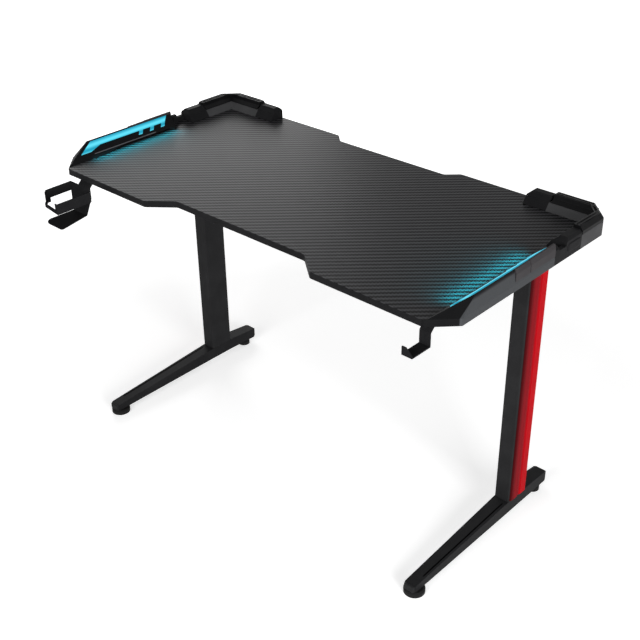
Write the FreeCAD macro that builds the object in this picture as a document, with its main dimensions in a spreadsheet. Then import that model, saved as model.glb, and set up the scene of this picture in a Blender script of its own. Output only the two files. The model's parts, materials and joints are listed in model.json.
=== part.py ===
import FreeCAD, Part
import math
import os
import re
import Sketcher

# Driving dimensions in millimetres: name, value and meaning.
# Setbacks run back from the front edge of the board, or forward from its rear edge where it says so.
DIMENSIONS = [
    # Desktop board
    ("desk_length", 1200, "length over the two light wings"),
    ("desk_depth", 600, "front edge to rear edge of the board"),
    ("surface_height", 735, "floor to writing surface"),
    ("core_thickness", 15.2, "particle board core"),
    ("laminate_thickness", 0.8, "woven look laminate on top"),
    ("band_thickness", 1, "edge band round the core"),
    ("front_chamfer", 52, "cut across each front corner"),
    ("rear_chamfer", 41, "cut across each rear corner"),
    ("recess_mouth", 518, "body recess in the front edge, at the edge"),
    ("recess_floor", 400, "body recess, at its bottom"),
    ("recess_depth", 48, "body recess, depth"),
    ("notch_mouth", 392, "cable notch in the rear edge, at the edge"),
    ("notch_floor", 332, "cable notch, at its bottom"),
    ("notch_depth", 28, "cable notch, depth"),
    ("kink_radius", 14, "rounding of the recess and notch corners"),
    ("kink_share", 0.9, "rounding, as a share of what a short wall has room for"),
    # Light wings
    ("skirt_thickness", 3, "skirt of wings and guards over the board edge"),
    ("wing_length", 369, "wing, front edge to rear face"),
    ("wing_width", 48, "wing, foot of the ramp to the outer face"),
    ("wing_height", 31.5, "ridge of the wing above the surface"),
    ("ridge_inset", 5, "ridge, set in from the outer face"),
    ("ridge_width", 2, "flat on the ridge"),
    ("ridge_setback", 92, "where the ridge reaches its full height"),
    ("wing_rear_slant", 17, "rear end of the ramp, forward lean of its foot"),
    ("light_tip_setback", 55, "tip of the light blade"),
    ("light_shoulder_setback", 101, "upper front corner of the light"),
    ("light_heel_setback", 86, "lower front corner of the light"),
    ("light_knee_setback", 122, "where the blade narrows to the band"),
    ("light_rear_margin", 19, "rear end of the light to the wing's rear face"),
    ("light_rear_slant", 16, "forward lean of the light's rear end"),
    ("light_top_margin", 4, "light to ridge, along the ramp"),
    ("light_band", 16, "width of the light band"),
    ("light_drop", 27.5, "width of the light blade"),
    ("tooth_drop", 11, "length of the light teeth below the band"),
    ("tooth_width", 12, "width of a light tooth"),
    ("tooth_pitch", 37, "spacing of the light teeth"),
    ("tooth_slant", 9, "forward lean of a light tooth"),
    ("diffuser_depth", 4, "seat of the diffuser in the ramp"),
    ("diffuser_proud", 2, "diffuser above the ramp"),
    ("channel_depth", 4, "lamp channel behind the diffuser"),
    ("lamp_board_width", 7, "lamp board"),
    ("lamp_board_thickness", 1.2, "lamp board"),
    ("lamp_tape", 0.2, "tape under the lamp board"),
    ("lamp_board_margin", 6, "lamp board end to the end of the light band"),
    ("lamp_size", 5, "side of one lamp"),
    ("lamp_height", 1.6, "lamp above its board"),
    ("lamp_pitch", 22, "spacing of the lamps"),
    ("slot_low", -2, "undercut along the foot of the ramp, lower edge"),
    ("slot_rise", 12, "undercut, width up the ramp"),
    ("slot_setback", 105, "undercut, front end"),
    ("slot_length", 240, "undercut, length"),
    ("slot_taper", 75, "undercut, length over which it widens"),
    ("slot_slant", 12, "undercut, slope of its rear end"),
    ("slot_depth", 8, "undercut, depth"),
    ("armour_setback", 226, "front end of the ridge armour"),
    ("armour_front_rise", 1, "armour above the ridge at its front"),
    ("armour_seam_rise", 1.5, "armour above the ridge in front of its seam"),
    ("armour_step", 0.8, "step up of the armour behind its seam"),
    ("armour_rear_rise", 3, "armour above the ridge at its rear"),
    ("armour_foot", 5, "lower edge of the armour above the surface"),
    ("armour_shoulder", 22, "top of the armour's upright face"),
    ("armour_grip", 3, "armour past the ridge, down the ramp"),
    ("armour_lean", 2, "armour top, set in from its upright face"),
    ("seam_setback", 278, "seam across the armour"),
    ("seam_width", 5, "seam, width at the face"),
    ("seam_depth", 4, "seam, depth"),
    ("end_block_length", 14, "block behind the wing"),
    ("end_block_height", 24, "block behind the wing"),
    ("end_block_inset", 30, "block, set in from the wing's ramp foot"),
    ("end_block_bevel", 6, "block, bevels of its top"),
    ("bridge_width", 10, "low wall between that block and the corner guard"),
    ("bridge_height", 14, "low wall between that block and the corner guard"),
    # Corner guards
    ("guard_side_length", 189, "guard along the end of the board"),
    ("guard_rear_length", 200, "guard along the rear edge"),
    ("guard_width", 46, "width of a guard arm"),
    ("base_wall", 2, "upright foot of the guard's inner side"),
    ("base_bevel_rise", 15, "sloped inner side of the guard base, height"),
    ("base_bevel", 11, "sloped inner side of the guard base, width"),
    ("cap_inset", 12, "guard cap, set in from the base's inner wall"),
    ("cap_wall", 1.5, "upright foot of the guard cap's inner side"),
    ("cap_bevel_rise", 7, "sloped ledge of the guard cap, height"),
    ("cap_bevel", 9, "sloped ledge of the guard cap, width"),
    ("cap_top_rise", 9.5, "cap above its ledge"),
    ("cap_top_inset", 2, "cap top, set in on the inner side"),
    ("cap_edge", 6, "cap top, set in on the outer side"),
    ("cap_side_length", 127, "cap along the end of the board"),
    ("cap_rear_length", 135, "cap along the rear edge"),
    ("block_length", 60, "end block of a guard arm"),
    ("block_height", 29, "end block of a guard arm"),
    ("block_lip", 0.5, "end block past the guard arm, inwards"),
    ("block_nose_run", 10, "sloped nose of the end block, length"),
    ("block_nose_drop", 9, "sloped nose of the end block, height"),
    ("block_chamfer", 6, "chamfer along the outer top edge of the end block"),
    # Legs
    ("column_spacing", 1044, "between the centres of the columns"),
    ("column_setback", 184, "centre of the columns, from the rear edge"),
    ("column_width", 40, "column, across the desk"),
    ("column_depth", 72, "column, front to back"),
    ("column_wall", 1.5, "column, sheet thickness"),
    ("column_radius", 4, "column, corner radius"),
    ("column_plate", 8, "threaded plate in the foot of the column"),
    ("fit_clearance", 0.2, "play round a piece that slips into another"),
    ("trim_width", 66, "red panel on the column"),
    ("trim_base", 2.5, "red panel, back sheet"),
    ("trim_rise", 2, "red panel, height of its two ribs"),
    ("rib_width", 28, "red panel, width of a rib at its foot"),
    ("rib_bevel", 1.5, "red panel, bevel of a rib at the groove"),
    ("rib_fall", 1, "red panel, slope across the front rib"),
    ("trim_slope", 5, "red panel, run of its sloped front and rear edges"),
    ("trim_gap", 2, "red panel to the pieces above and below it"),
    ("bracket_wall", 2, "top bracket, sheet thickness"),
    ("bracket_depth", 24, "top bracket, height of its flanges"),
    ("bracket_front_setback", 100, "top bracket, front end"),
    ("bracket_rear_setback", 40, "top bracket, rear end, from the rear edge"),
    # Foot bars
    ("foot_crest", 53, "top of the foot bar under the column"),
    ("foot_arch", 20, "underside of the foot bar under the column"),
    ("crest_width", 40, "foot bar under the column"),
    ("toe_setback", 28, "front end of the foot bar"),
    ("toe_width", 30, "front end of the foot bar"),
    ("toe_bottom", 13, "underside at the front end"),
    ("toe_top", 31.5, "top at the front end"),
    ("heel_setback", 49, "rear end of the foot bar, from the rear edge"),
    ("heel_width", 34, "rear end of the foot bar"),
    ("heel_bottom", 15, "underside at the rear end"),
    ("heel_top", 44, "top at the rear end"),
    ("foot_wall", 2, "foot bar, sheet thickness"),
    ("foot_cap_length", 6, "nose of the foot bar's end caps"),
    ("plug_length", 8, "end cap inside the foot bar"),
    ("nose_share", 0.86, "end cap's nose, as a share of its root"),
    # Levelling feet
    ("leveller_setback", 44.5, "front levelling feet"),
    ("leveller_rear_setback", 77, "rear levelling feet, from the rear edge"),
    ("pad_radius", 25, "front levelling pad"),
    ("pad_top_radius", 21, "front levelling pad, flat on top"),
    ("rear_pad_radius", 17, "rear levelling pad"),
    ("rear_pad_top_radius", 14, "rear levelling pad, flat on top"),
    ("pad_height", 12, "levelling pad"),
    ("pad_rim", 9, "upright rim of the levelling pad"),
    ("stud_radius", 4, "threaded stud"),
    ("stud_seat", 2.5, "stud's lower end above the floor"),
    ("stud_clearance", 0.15, "play between stud and nut"),
    ("nut_radius", 7.5, "weld nut, across its corners, half"),
    ("nut_height", 5, "weld nut"),
    ("leveller_travel", 8, "travel of a levelling foot"),
    # Rails
    ("rail_height", 25, "rail under the board"),
    ("rail_depth", 40, "rail, front to back"),
    ("rail_wall", 1.5, "rail, sheet thickness"),
    ("rail_plate", 4, "threaded plate in each end of a rail"),
    ("front_rail_setback", 190, "centre of the front rail"),
    ("rear_rail_setback", 85, "centre of the rear rail, from the rear edge"),
    ("rail_bolt_spacing", 22, "between the two bolts of a rail end"),
    # Cup holder
    ("cup_offset", 90, "centre of the cup holder, in from the left end"),
    ("cup_reach", 98, "cup ring in front of the board"),
    ("cup_width", 80, "cup holder plate"),
    ("cup_sheet", 2.5, "cup holder, sheet thickness"),
    ("cup_tab", 50, "rear end of the tab under the board"),
    ("cup_bend", 14, "where the tab bends down"),
    ("cup_bevel", 14, "sloped bend below the tab"),
    ("tab_cut", 36, "tab and bend, set in from the plate's left edge"),
    ("cup_drop", 94, "tongue below the board"),
    ("plate_taper", 28, "cup holder plate, narrowing at its foot"),
    ("plate_taper_fall", 42, "where the plate starts to narrow, below the board"),
    ("tongue_width", 73, "tongue under the cup, at its front"),
    ("tongue_length", 88, "tongue, from the plate forward"),
    ("tongue_radius", 22, "tongue, rounding of its left corner"),
    ("tongue_corner", 6, "tongue, rounding of its right corner"),
    ("ring_fall", 17, "top of the cup ring below the board"),
    ("ring_height", 23, "side arms of the cup ring"),
    ("near_arm_fall", 7, "right arm of the cup ring, top below the left arm's"),
    ("ring_skew", 26, "left arm shorter than the right"),
    ("ring_bevel", 18, "cut across the left front corner of the cup ring"),
    ("corner_across_share", 0.47, "bevel's inner corner to its outer one, in sheets, across"),
    ("corner_along_share", 0.95, "the same, front to back"),
    ("strap_height", 10, "front strap of the cup ring"),
    ("strap_drop", 11, "front strap below the side arms"),
    ("strap_leg", 10, "leg at each end of the front strap"),
    # Headset hook
    ("hook_offset", 55, "centre of the hook, in from the right end"),
    ("hook_width", 26, "hook strip"),
    ("hook_sheet", 3, "hook, sheet thickness"),
    ("hook_tab", 80, "rear end of the tab under the board"),
    ("hook_bend", 24, "where the tab bends down"),
    ("hook_bevel", 14, "sloped bend below the tab"),
    ("hook_drop", 43, "hook seat below the board"),
    ("hook_run", 50, "hook seat, length"),
    ("hook_lip", 16, "upturned end"),
    ("lip_cut", 16, "cut across the right corner of the upturned end"),
    # Light controller
    ("controller_offset", 122, "centre of the controller, in from the right column"),
    ("controller_setback", 70, "front face of the controller"),
    ("controller_length", 72, "controller box"),
    ("controller_depth", 46, "controller box"),
    ("controller_height", 20, "controller box"),
    ("controller_wall", 2, "controller box, wall"),
    ("ear_length", 12, "screw ear of the controller"),
    ("ear_thickness", 3, "screw ear of the controller"),
    ("button_radius", 6, "mode button"),
    ("button_clearance", 0.3, "play round the mode button"),
    ("button_proud", 3, "mode button in front of its box"),
    ("button_flange", 2, "flange that keeps the button in"),
    ("button_stem", 8, "button inside the box"),
    ("button_travel", 1.5, "travel of the mode button"),
    ("circuit_thickness", 1.6, "control board"),
    ("switch_depth", 6, "switch behind the mode button"),
    ("inlet_radius", 5, "power inlet, outside"),
    ("inlet_bore", 2.75, "power inlet, plug bore"),
    ("inlet_length", 12, "power inlet"),
    ("inlet_depth", 9, "power inlet, depth of the bore"),
    # Fasteners
    ("screw_front_setback", 125, "first board screw of a bracket"),
    ("screw_mid_setback", 80, "second board screw, in front of the column"),
    ("screw_back_setback", 130, "third board screw, from the rear edge"),
    ("screw_rear_setback", 55, "fourth board screw, from the rear edge"),
    ("board_screw_radius", 2.5, "board screws"),
    ("board_screw_head", 5, "board screws, head radius"),
    ("board_screw_cap", 3, "board screws, head height"),
    ("board_screw_bite", 11, "board screws, length in the board"),
    ("trim_screw_radius", 2, "screws up into wings and guards"),
    ("trim_screw_head", 4, "screws up into wings and guards, head radius"),
    ("trim_screw_cap", 2.5, "screws up into wings and guards, head height"),
    ("trim_screw_bite", 7, "screws up into wings and guards, length in them"),
    ("screw_play", 0.15, "play round a screw in its hole"),
    ("wing_screw_front", 130, "first screw of a wing"),
    ("wing_screw_mid", 235, "second screw of a wing"),
    ("wing_screw_rear", 330, "third screw of a wing"),
    ("guard_screw_side", 110, "guard screw along the end, from the rear edge"),
    ("guard_screw_rear", 100, "guard screw along the rear edge, from the end"),
    ("rail_bolt_radius", 3, "rail bolts"),
    ("rail_bolt_head", 5, "rail bolts, head radius"),
    ("rail_bolt_cap", 4, "rail bolts, head height"),
    ("foot_bolt_radius", 4, "bolts up into the column"),
    ("foot_bolt_head", 6.5, "bolts up into the column, head radius"),
    ("foot_bolt_cap", 5, "bolts up into the column, head height"),
    ("foot_bolt_spacing", 44, "between the two bolts of a column"),
    ("overrun", 5, "how far a cutting shape runs past the piece"),
]

SIDES = {"left": -1, "right": 1}
TOOTH_COUNT = 3
NUT_CORNERS = 6

# Reference places, as expressions in the driving dimensions.
# The box round the desk, cup ring included, is centred on the origin.
END = "(desk_length / 2)"
FRONT = "(cup_reach / 2 - desk_depth / 2)"
REAR = "(cup_reach / 2 + desk_depth / 2)"
TOP = "surface_height"
CORE_TOP = "(surface_height - laminate_thickness)"
BOARD_BOTTOM = "(surface_height - laminate_thickness - core_thickness)"
BOARD_THICKNESS = "(laminate_thickness + core_thickness)"
WING_REAR = f"({FRONT} + wing_length)"
SIDE_BLOCK_FRONT = f"({REAR} - guard_side_length)"
COLUMN_X = "(column_spacing / 2)"
COLUMN_Y = f"({REAR} - column_setback)"
DIAGONAL = "sqrt(2)"
MITRE = "(sqrt(2) - 1)"
TRIM_BITE = "trim_screw_bite + screw_play"

# Two coordinates closer than this are the same.
NEAR = 1e-6

doc = FreeCAD.newDocument("gaming_desk")
dims = doc.addObject("Spreadsheet::Sheet", "dims")
NAMES = {name for name, value, meaning in DIMENSIONS}
VALUES = {name: value for name, value, meaning in DIMENSIONS}
SUBPARTS = []


def fill_sheet():
    """Write each driving dimension to a cell of its own, with its name as the alias."""
    for row, (name, value, meaning) in enumerate(DIMENSIONS, start=1):
        dims.set(f"A{row}", meaning)
        dims.set(f"B{row}", str(value))
        dims.setAlias(f"B{row}", name)
    doc.recompute()


def cells(expression):
    """Point every dimension named in an expression at its cell."""
    def cell(word):
        return f"dims.{word[0]}" if word[0] in NAMES else word[0]

    return re.sub(r"[a-z_]+", cell, expression)


def bind(item, **sizes):
    """Bind properties to expressions; two underscores in a name stand for a dot."""
    for name, expression in sizes.items():
        item.setExpression(name.replace("__", "."), cells(expression))


def keep(item, label):
    """Name a finished sub-part and list it for export."""
    item.Label = label
    SUBPARTS.append(item)
    return item


def mirrored(side, points):
    """Turn points drawn for the right side into points for the given side."""
    return [(f"{SIDES[side]} * ({x})", y) for x, y in points]


# Sketches and features

def new_body(name):
    return doc.addObject("PartDesign::Body", name)


def sketch_on(body, role, height="0"):
    """Start a sketch on one of the body's origin planes, moved along the plane's normal."""
    sketch = body.newObject("Sketcher::SketchObject", f"{body.Name}_sketch")
    plane = next(item for item in body.Origin.OriginFeatures if item.Role == role)
    sketch.AttachmentSupport = [(plane, "")]
    sketch.MapMode = "FlatFace"
    bind(sketch, AttachmentOffset__Base__z=height)
    return sketch


def pin(sketch, geometry, vertex, place, start):
    """Fix a point of the sketch at a pair of expressions measured from its origin."""
    for kind, expression, value in zip(("DistanceX", "DistanceY"), place, start):
        index = sketch.addConstraint(Sketcher.Constraint(kind, -1, 1, geometry, vertex, value))
        sketch.setExpression(f"Constraints[{index}]", cells(expression))


def draw_loop(sketch, points):
    """Draw a closed outline of straight lines; it starts as a unit polygon that the places stretch."""
    count = len(points)
    first = sketch.GeometryCount
    turns = [2 * math.pi * step / count for step in range(count)]
    unit = [FreeCAD.Vector(math.cos(turn), math.sin(turn), 0) for turn in turns]
    for step in range(count):
        sketch.addGeometry(Part.LineSegment(unit[step], unit[(step + 1) % count]))
    for step in range(count):
        following = first + (step + 1) % count
        sketch.addConstraint(Sketcher.Constraint("Coincident", first + step, 2, following, 1))
    for step, place in enumerate(points):
        pin(sketch, first + step, 1, place, (unit[step].x, unit[step].y))


def draw_circles(sketch, centres, radius):
    for centre in centres:
        index = sketch.addGeometry(Part.Circle(FreeCAD.Vector(), FreeCAD.Vector(0, 0, 1), 1))
        size = sketch.addConstraint(Sketcher.Constraint("Radius", index, 1))
        sketch.setExpression(f"Constraints[{size}]", cells(radius))
        pin(sketch, index, 3, centre, (0, 0))


def section(body, axis, at, points, hole=None):
    """Draw an outline square to an axis, at a place along it."""
    role, sense = {"x": ("YZ_Plane", ""), "y": ("XZ_Plane", "-"), "z": ("XY_Plane", "")}[axis]
    sketch = sketch_on(body, role, f"{sense}({at})")
    draw_loop(sketch, points)
    if hole:
        draw_loop(sketch, hole)
    return sketch


def pad(body, sketch, length, backwards=False):
    feature = body.newObject("PartDesign::Pad", f"{body.Name}_pad")
    feature.Profile = sketch
    feature.Reversed = backwards
    bind(feature, Length=length)
    return feature


def pocket(body, sketch, depth, backwards=False):
    """Cut along the sketch's normal, downwards unless backwards is set."""
    feature = body.newObject("PartDesign::Pocket", f"{body.Name}_pocket")
    feature.Profile = sketch
    feature.Reversed = backwards
    bind(feature, Length=depth)
    return feature


def extrude(body, axis, start, length, points, hole=None):
    """Pad an outline along an axis, from start on towards higher values."""
    return pad(body, section(body, axis, start, points, hole), length, backwards=axis == "y")


def loft(body, kind, axis, sections):
    """Join outlines along an axis with flat facets; sections holds pairs of place and points."""
    sketches = [section(body, axis, at, points) for at, points in sections]
    feature = body.newObject(f"PartDesign::{kind}Loft", f"{body.Name}_loft")
    feature.Profile = sketches[0]
    feature.Sections = sketches[1:]
    feature.Ruled = True
    return feature


def drill(body, height, centres, radius, depth):
    """Drill upwards from a height."""
    sketch = sketch_on(body, "XY_Plane", height)
    draw_circles(sketch, centres, radius)
    return pocket(body, sketch, depth, backwards=True)


def trim_screw_holes(body, height, centres, depth):
    return drill(body, height, centres, "trim_screw_radius + screw_play", depth)


def board_screw_holes(body, height, centres, depth):
    return drill(body, height, centres, "board_screw_radius + screw_play", depth)


def edges_where(feature, test):
    """Name the straight edges of a feature whose two ends pass a test."""
    doc.recompute()
    names = []
    for number, edge in enumerate(feature.Shape.Edges, start=1):
        ends = [vertex.Point for vertex in edge.Vertexes]
        if len(ends) == 2 and test(*ends):
            names.append(f"Edge{number}")
    return names


def dress(body, kind, feature, names, **sizes):
    """Round or chamfer named edges."""
    result = body.newObject(f"PartDesign::{kind}", f"{body.Name}_{kind.lower()}")
    result.Base = (feature, names)
    bind(result, **sizes)
    return result


def upright(start, end):
    return math.isclose(start.x, end.x, abs_tol=NEAR) and math.isclose(start.y, end.y, abs_tol=NEAR)


# Desktop board

def board_outline():
    """Outline of the board: chamfered corners, body recess in front and cable notch behind."""
    right = [
        ("recess_floor / 2", f"{FRONT} + recess_depth"),
        ("recess_mouth / 2", FRONT),
        (f"{END} - front_chamfer - skirt_thickness * {DIAGONAL}", FRONT),
        (f"{END} - skirt_thickness", f"{FRONT} + front_chamfer + skirt_thickness * {MITRE}"),
        (f"{END} - skirt_thickness", f"{REAR} - rear_chamfer - skirt_thickness * {MITRE}"),
        (f"{END} - rear_chamfer - skirt_thickness * {DIAGONAL}", REAR),
        ("notch_mouth / 2", REAR),
        ("notch_floor / 2", f"{REAR} - notch_depth"),
    ]
    left = [(f"-({x})", y) for x, y in reversed(right)]
    return right + left


def round_kinks(body, layer, mouth, floor, depth, sense):
    """Round the corners of the recess or the notch, as far as its sloped wall has room for."""
    flare = f"(({mouth} - {floor}) / 2)"
    wall = f"sqrt({flare} ^ 2 + {depth} ^ 2)"
    room = f"kink_share * {wall} * {depth} / (2 * ({wall} - {flare}))"
    reach = max(VALUES[mouth], VALUES[floor]) / 2 + NEAR
    doc.recompute()
    middle = layer.Shape.BoundBox.Center.y

    def kink(start, end):
        return upright(start, end) and abs(start.x) < reach and sense * (start.y - middle) > 0

    return dress(body, "Fillet", layer, edges_where(layer, kink), Radius=f"min(kink_radius; {room})")


def board_sheet(name, bottom, thickness):
    """One layer of the board, with the corners of recess and notch rounded."""
    body = new_body(name)
    layer = extrude(body, "z", bottom, thickness, board_outline())
    layer = round_kinks(body, layer, "recess_mouth", "recess_floor", "recess_depth", -1)
    return body, round_kinks(body, layer, "notch_mouth", "notch_floor", "notch_depth", 1)


def desktop():
    """Core, edge band and laminate."""
    band, rounded = board_sheet("edge_band", BOARD_BOTTOM, "core_thickness")
    doc.recompute()
    faces = [f"Face{number}" for number, face in enumerate(rounded.Shape.Faces, start=1)
             if abs(face.normalAt(0, 0).z) > 0.5]
    ring = dress(band, "Thickness", rounded, faces, Value="band_thickness")
    ring.Join = "Intersection"
    keep(band, "edge_band")

    blank, rounded = board_sheet("core_blank", BOARD_BOTTOM, "core_thickness")
    board_screw_holes(blank, BOARD_BOTTOM, board_screw_places(), "board_screw_bite + screw_play")
    trim_screw_holes(blank, BOARD_BOTTOM, trim_screw_places(), "core_thickness + overrun")
    core = doc.addObject("Part::Cut", "desktop_core")
    core.Base = blank
    core.Tool = band
    keep(core, "desktop_core")

    sheet, rounded = board_sheet("laminate", CORE_TOP, "laminate_thickness")
    trim_screw_holes(sheet, BOARD_BOTTOM, trim_screw_places(), f"{BOARD_THICKNESS} + overrun")
    keep(sheet, "carbon_laminate")


# Light wings

RAMP_RUN = "(wing_width - ridge_inset - ridge_width)"
RAMP_LENGTH = f"sqrt({RAMP_RUN} ^ 2 + wing_height ^ 2)"
RAMP_TILT = f"atan(wing_height / {RAMP_RUN})"
LIGHT_TOP = f"({RAMP_LENGTH} - light_top_margin)"
LIGHT_LOW = f"({LIGHT_TOP} - light_band)"
LIGHT_REAR = f"({WING_REAR} - light_rear_margin)"
BAND_REAR = f"({LIGHT_REAR} - light_rear_slant)"
BAND_FRONT = f"({FRONT} + light_knee_setback)"


def ramp_sketch(body, side, depth):
    """Sketch on the wing's ramp, or a depth below it; x runs up the ramp, out from the desk's middle."""
    sketch = sketch_on(body, "XY_Plane")
    across = FreeCAD.Rotation(FreeCAD.Vector(0, 1, 0), 1)
    sketch.AttachmentOffset = FreeCAD.Placement(FreeCAD.Vector(), across)
    foot = f"{END} - wing_width + ({depth}) * sin({RAMP_TILT})"
    bind(sketch, AttachmentOffset__Rotation__Angle=f"{-SIDES[side]} * {RAMP_TILT}",
         AttachmentOffset__Base__x=f"{SIDES[side]} * ({foot})",
         AttachmentOffset__Base__z=f"{TOP} - ({depth}) * cos({RAMP_TILT})")
    return sketch


def light_outline(side):
    """Blade, band and slanted teeth of the light, in distances up the ramp and along the desk."""
    points = [
        (f"{LIGHT_TOP} - light_drop", f"{FRONT} + light_tip_setback"),
        (LIGHT_TOP, f"{FRONT} + light_shoulder_setback"),
        (LIGHT_TOP, LIGHT_REAR),
    ]
    for tooth in range(TOOTH_COUNT):
        back = f"{BAND_REAR} - {tooth} * tooth_pitch"
        points += [
            (LIGHT_LOW, back),
            (f"{LIGHT_LOW} - tooth_drop", f"{back} - tooth_slant"),
            (f"{LIGHT_LOW} - tooth_drop", f"{back} - tooth_slant - tooth_width"),
            (LIGHT_LOW, f"{back} - tooth_width"),
        ]
    points += [
        (LIGHT_LOW, BAND_FRONT),
        (f"{LIGHT_TOP} - light_drop", f"{FRONT} + light_heel_setback"),
    ]
    return mirrored(side, points)


def lamp_strip(side, width, margin, start=BAND_FRONT, end=BAND_REAR):
    """Rectangle along the middle of the light band."""
    middle = f"({LIGHT_TOP} - light_band / 2)"
    points = [
        (f"{middle} - ({width}) / 2", f"{start} + ({margin})"),
        (f"{middle} + ({width}) / 2", f"{start} + ({margin})"),
        (f"{middle} + ({width}) / 2", f"{end} - ({margin})"),
        (f"{middle} - ({width}) / 2", f"{end} - ({margin})"),
    ]
    return mirrored(side, points)


def wing_base(side):
    """Plan of the wing at the surface: the front end follows the chamfer of the board."""
    return mirrored(side, [
        (f"{END} - wing_width", f"{FRONT} + front_chamfer - wing_width"),
        (END, f"{FRONT} + front_chamfer"),
        (END, WING_REAR),
        (f"{END} - wing_width", WING_REAR),
    ])


def wing_ridge(side):
    return mirrored(side, [
        (f"{END} - ridge_inset - ridge_width", f"{FRONT} + ridge_setback"),
        (f"{END} - ridge_inset", f"{FRONT} + ridge_setback + ridge_width"),
        (f"{END} - ridge_inset", WING_REAR),
        (f"{END} - ridge_inset - ridge_width", WING_REAR),
    ])


def wing_skirt(side):
    inner = f"{END} - skirt_thickness"
    return mirrored(side, [
        (f"{END} - front_chamfer", FRONT),
        (END, f"{FRONT} + front_chamfer"),
        (END, WING_REAR),
        (inner, WING_REAR),
        (inner, f"{FRONT} + front_chamfer + skirt_thickness * {MITRE}"),
        (f"{END} - front_chamfer - skirt_thickness * {DIAGONAL}", FRONT),
    ])


def wing_housing(side):
    """Hipped housing over the end of the board, with seats for diffuser and lamps, and an undercut."""
    body = new_body(f"{side}_wing_housing")
    loft(body, "Additive", "z", [(TOP, wing_base(side)), (f"{TOP} + wing_height", wing_ridge(side))])
    extrude(body, "z", BOARD_BOTTOM, BOARD_THICKNESS, wing_skirt(side))

    seat = ramp_sketch(body, side, "0")
    draw_loop(seat, light_outline(side))
    pocket(body, seat, "diffuser_depth")

    channel = ramp_sketch(body, side, "diffuser_depth")
    width = "lamp_board_width + 2 * fit_clearance"
    draw_loop(channel, lamp_strip(side, width, "lamp_board_margin - fit_clearance"))
    pocket(body, channel, "channel_depth")

    undercut = ramp_sketch(body, side, "0")
    front = f"{FRONT} + slot_setback"
    draw_loop(undercut, mirrored(side, [
        ("slot_low", front),
        ("slot_low + slot_rise", f"{front} + slot_taper"),
        ("slot_low + slot_rise", f"{front} + slot_length - slot_slant"),
        ("slot_low", f"{front} + slot_length"),
    ]))
    pocket(body, undercut, "slot_depth")

    rear = sketch_on(body, "XY_Plane", f"{TOP} + wing_height + overrun")
    draw_loop(rear, mirrored(side, [
        (f"{END} - ridge_inset - ridge_width", WING_REAR),
        (f"{END} - wing_width", f"{WING_REAR} - wing_rear_slant"),
        (f"{END} - wing_width - overrun", f"{WING_REAR} - wing_rear_slant"),
        (f"{END} - wing_width - overrun", f"{WING_REAR} + overrun"),
        (f"{END} - ridge_inset - ridge_width", f"{WING_REAR} + overrun"),
    ]))
    pocket(body, rear, "wing_height + 2 * overrun")

    trim_screw_holes(body, TOP, wing_screw_places(side), TRIM_BITE)
    keep(body, f"{side}_wing_housing")


def light_diffuser(side):
    """Translucent lens that fills its seat in the ramp and stands a little proud."""
    body = new_body(f"{side}_light_diffuser")
    floor = ramp_sketch(body, side, "diffuser_depth")
    draw_loop(floor, light_outline(side))
    pad(body, floor, "diffuser_depth + diffuser_proud")
    keep(body, f"{side}_light_diffuser")


def lamp_count():
    """As many lamps as the straight stretch of the light band has room for."""
    ends = ("light_knee_setback", "light_rear_margin", "light_rear_slant")
    stretch = VALUES["wing_length"] - sum(VALUES[end] for end in ends)
    room = stretch - 2 * (VALUES["lamp_board_margin"] + VALUES["lamp_size"])
    return math.floor(room / VALUES["lamp_pitch"]) + 1


def lamp_board(side):
    """Strip of lamps on a board, at the bottom of the channel behind the diffuser."""
    body = new_body(f"{side}_lamp_board")
    bed = "diffuser_depth + channel_depth - lamp_tape"
    floor = ramp_sketch(body, side, bed)
    draw_loop(floor, lamp_strip(side, "lamp_board_width", "lamp_board_margin"))
    pad(body, floor, "lamp_board_thickness")
    lamps = ramp_sketch(body, side, f"{bed} - lamp_board_thickness")
    for lamp in range(lamp_count()):
        back = f"({BAND_REAR} - lamp_board_margin - lamp_size - {lamp} * lamp_pitch)"
        draw_loop(lamps, lamp_strip(side, "lamp_size", "0", f"{back} - lamp_size", back))
    pad(body, lamps, "lamp_height")
    keep(body, f"{side}_lamp_board")


def armour_profile(side, rise):
    """Section of the armour that clips over the ridge: upright outside, snug on the housing inside."""
    grip = f"(armour_grip / {RAMP_LENGTH})"
    lean = "(ridge_inset / wing_height)"
    inner = f"{END} - ridge_inset - ridge_width"
    return mirrored(side, [
        (f"{END} - armour_foot * {lean}", f"{TOP} + armour_foot"),
        (END, f"{TOP} + armour_foot"),
        (END, f"{TOP} + armour_shoulder"),
        (f"{END} - ridge_inset + armour_lean", f"{TOP} + wing_height + {rise}"),
        (inner, f"{TOP} + wing_height + {rise}"),
        (f"{inner} - {RAMP_RUN} * {grip}", f"{TOP} + wing_height - wing_height * {grip}"),
        (inner, f"{TOP} + wing_height"),
        (f"{END} - ridge_inset", f"{TOP} + wing_height"),
    ])


def wing_armour(side):
    """Armour over the rear half of the ridge, rising to the rear, with a step and a seam across its face."""
    body = new_body(f"{side}_wing_armour")
    step = f"{FRONT} + seam_setback"
    loft(body, "Additive", "y", [
        (f"{FRONT} + armour_setback", armour_profile(side, "armour_front_rise")),
        (step, armour_profile(side, "armour_seam_rise")),
    ])
    loft(body, "Additive", "y", [
        (step, armour_profile(side, "(armour_seam_rise + armour_step)")),
        (WING_REAR, armour_profile(side, "armour_rear_rise")),
    ])
    seam = sketch_on(body, "XY_Plane", f"{TOP} + wing_height + armour_rear_rise + overrun")
    draw_loop(seam, mirrored(side, [
        (f"{END} + overrun", f"{step} - seam_width / 2"),
        (f"{END} + overrun", f"{step} + seam_width / 2"),
        (f"{END} - seam_depth", step),
    ]))
    pocket(body, seam, "wing_height + armour_rear_rise + 2 * overrun")
    keep(body, f"{side}_wing_armour")


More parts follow.
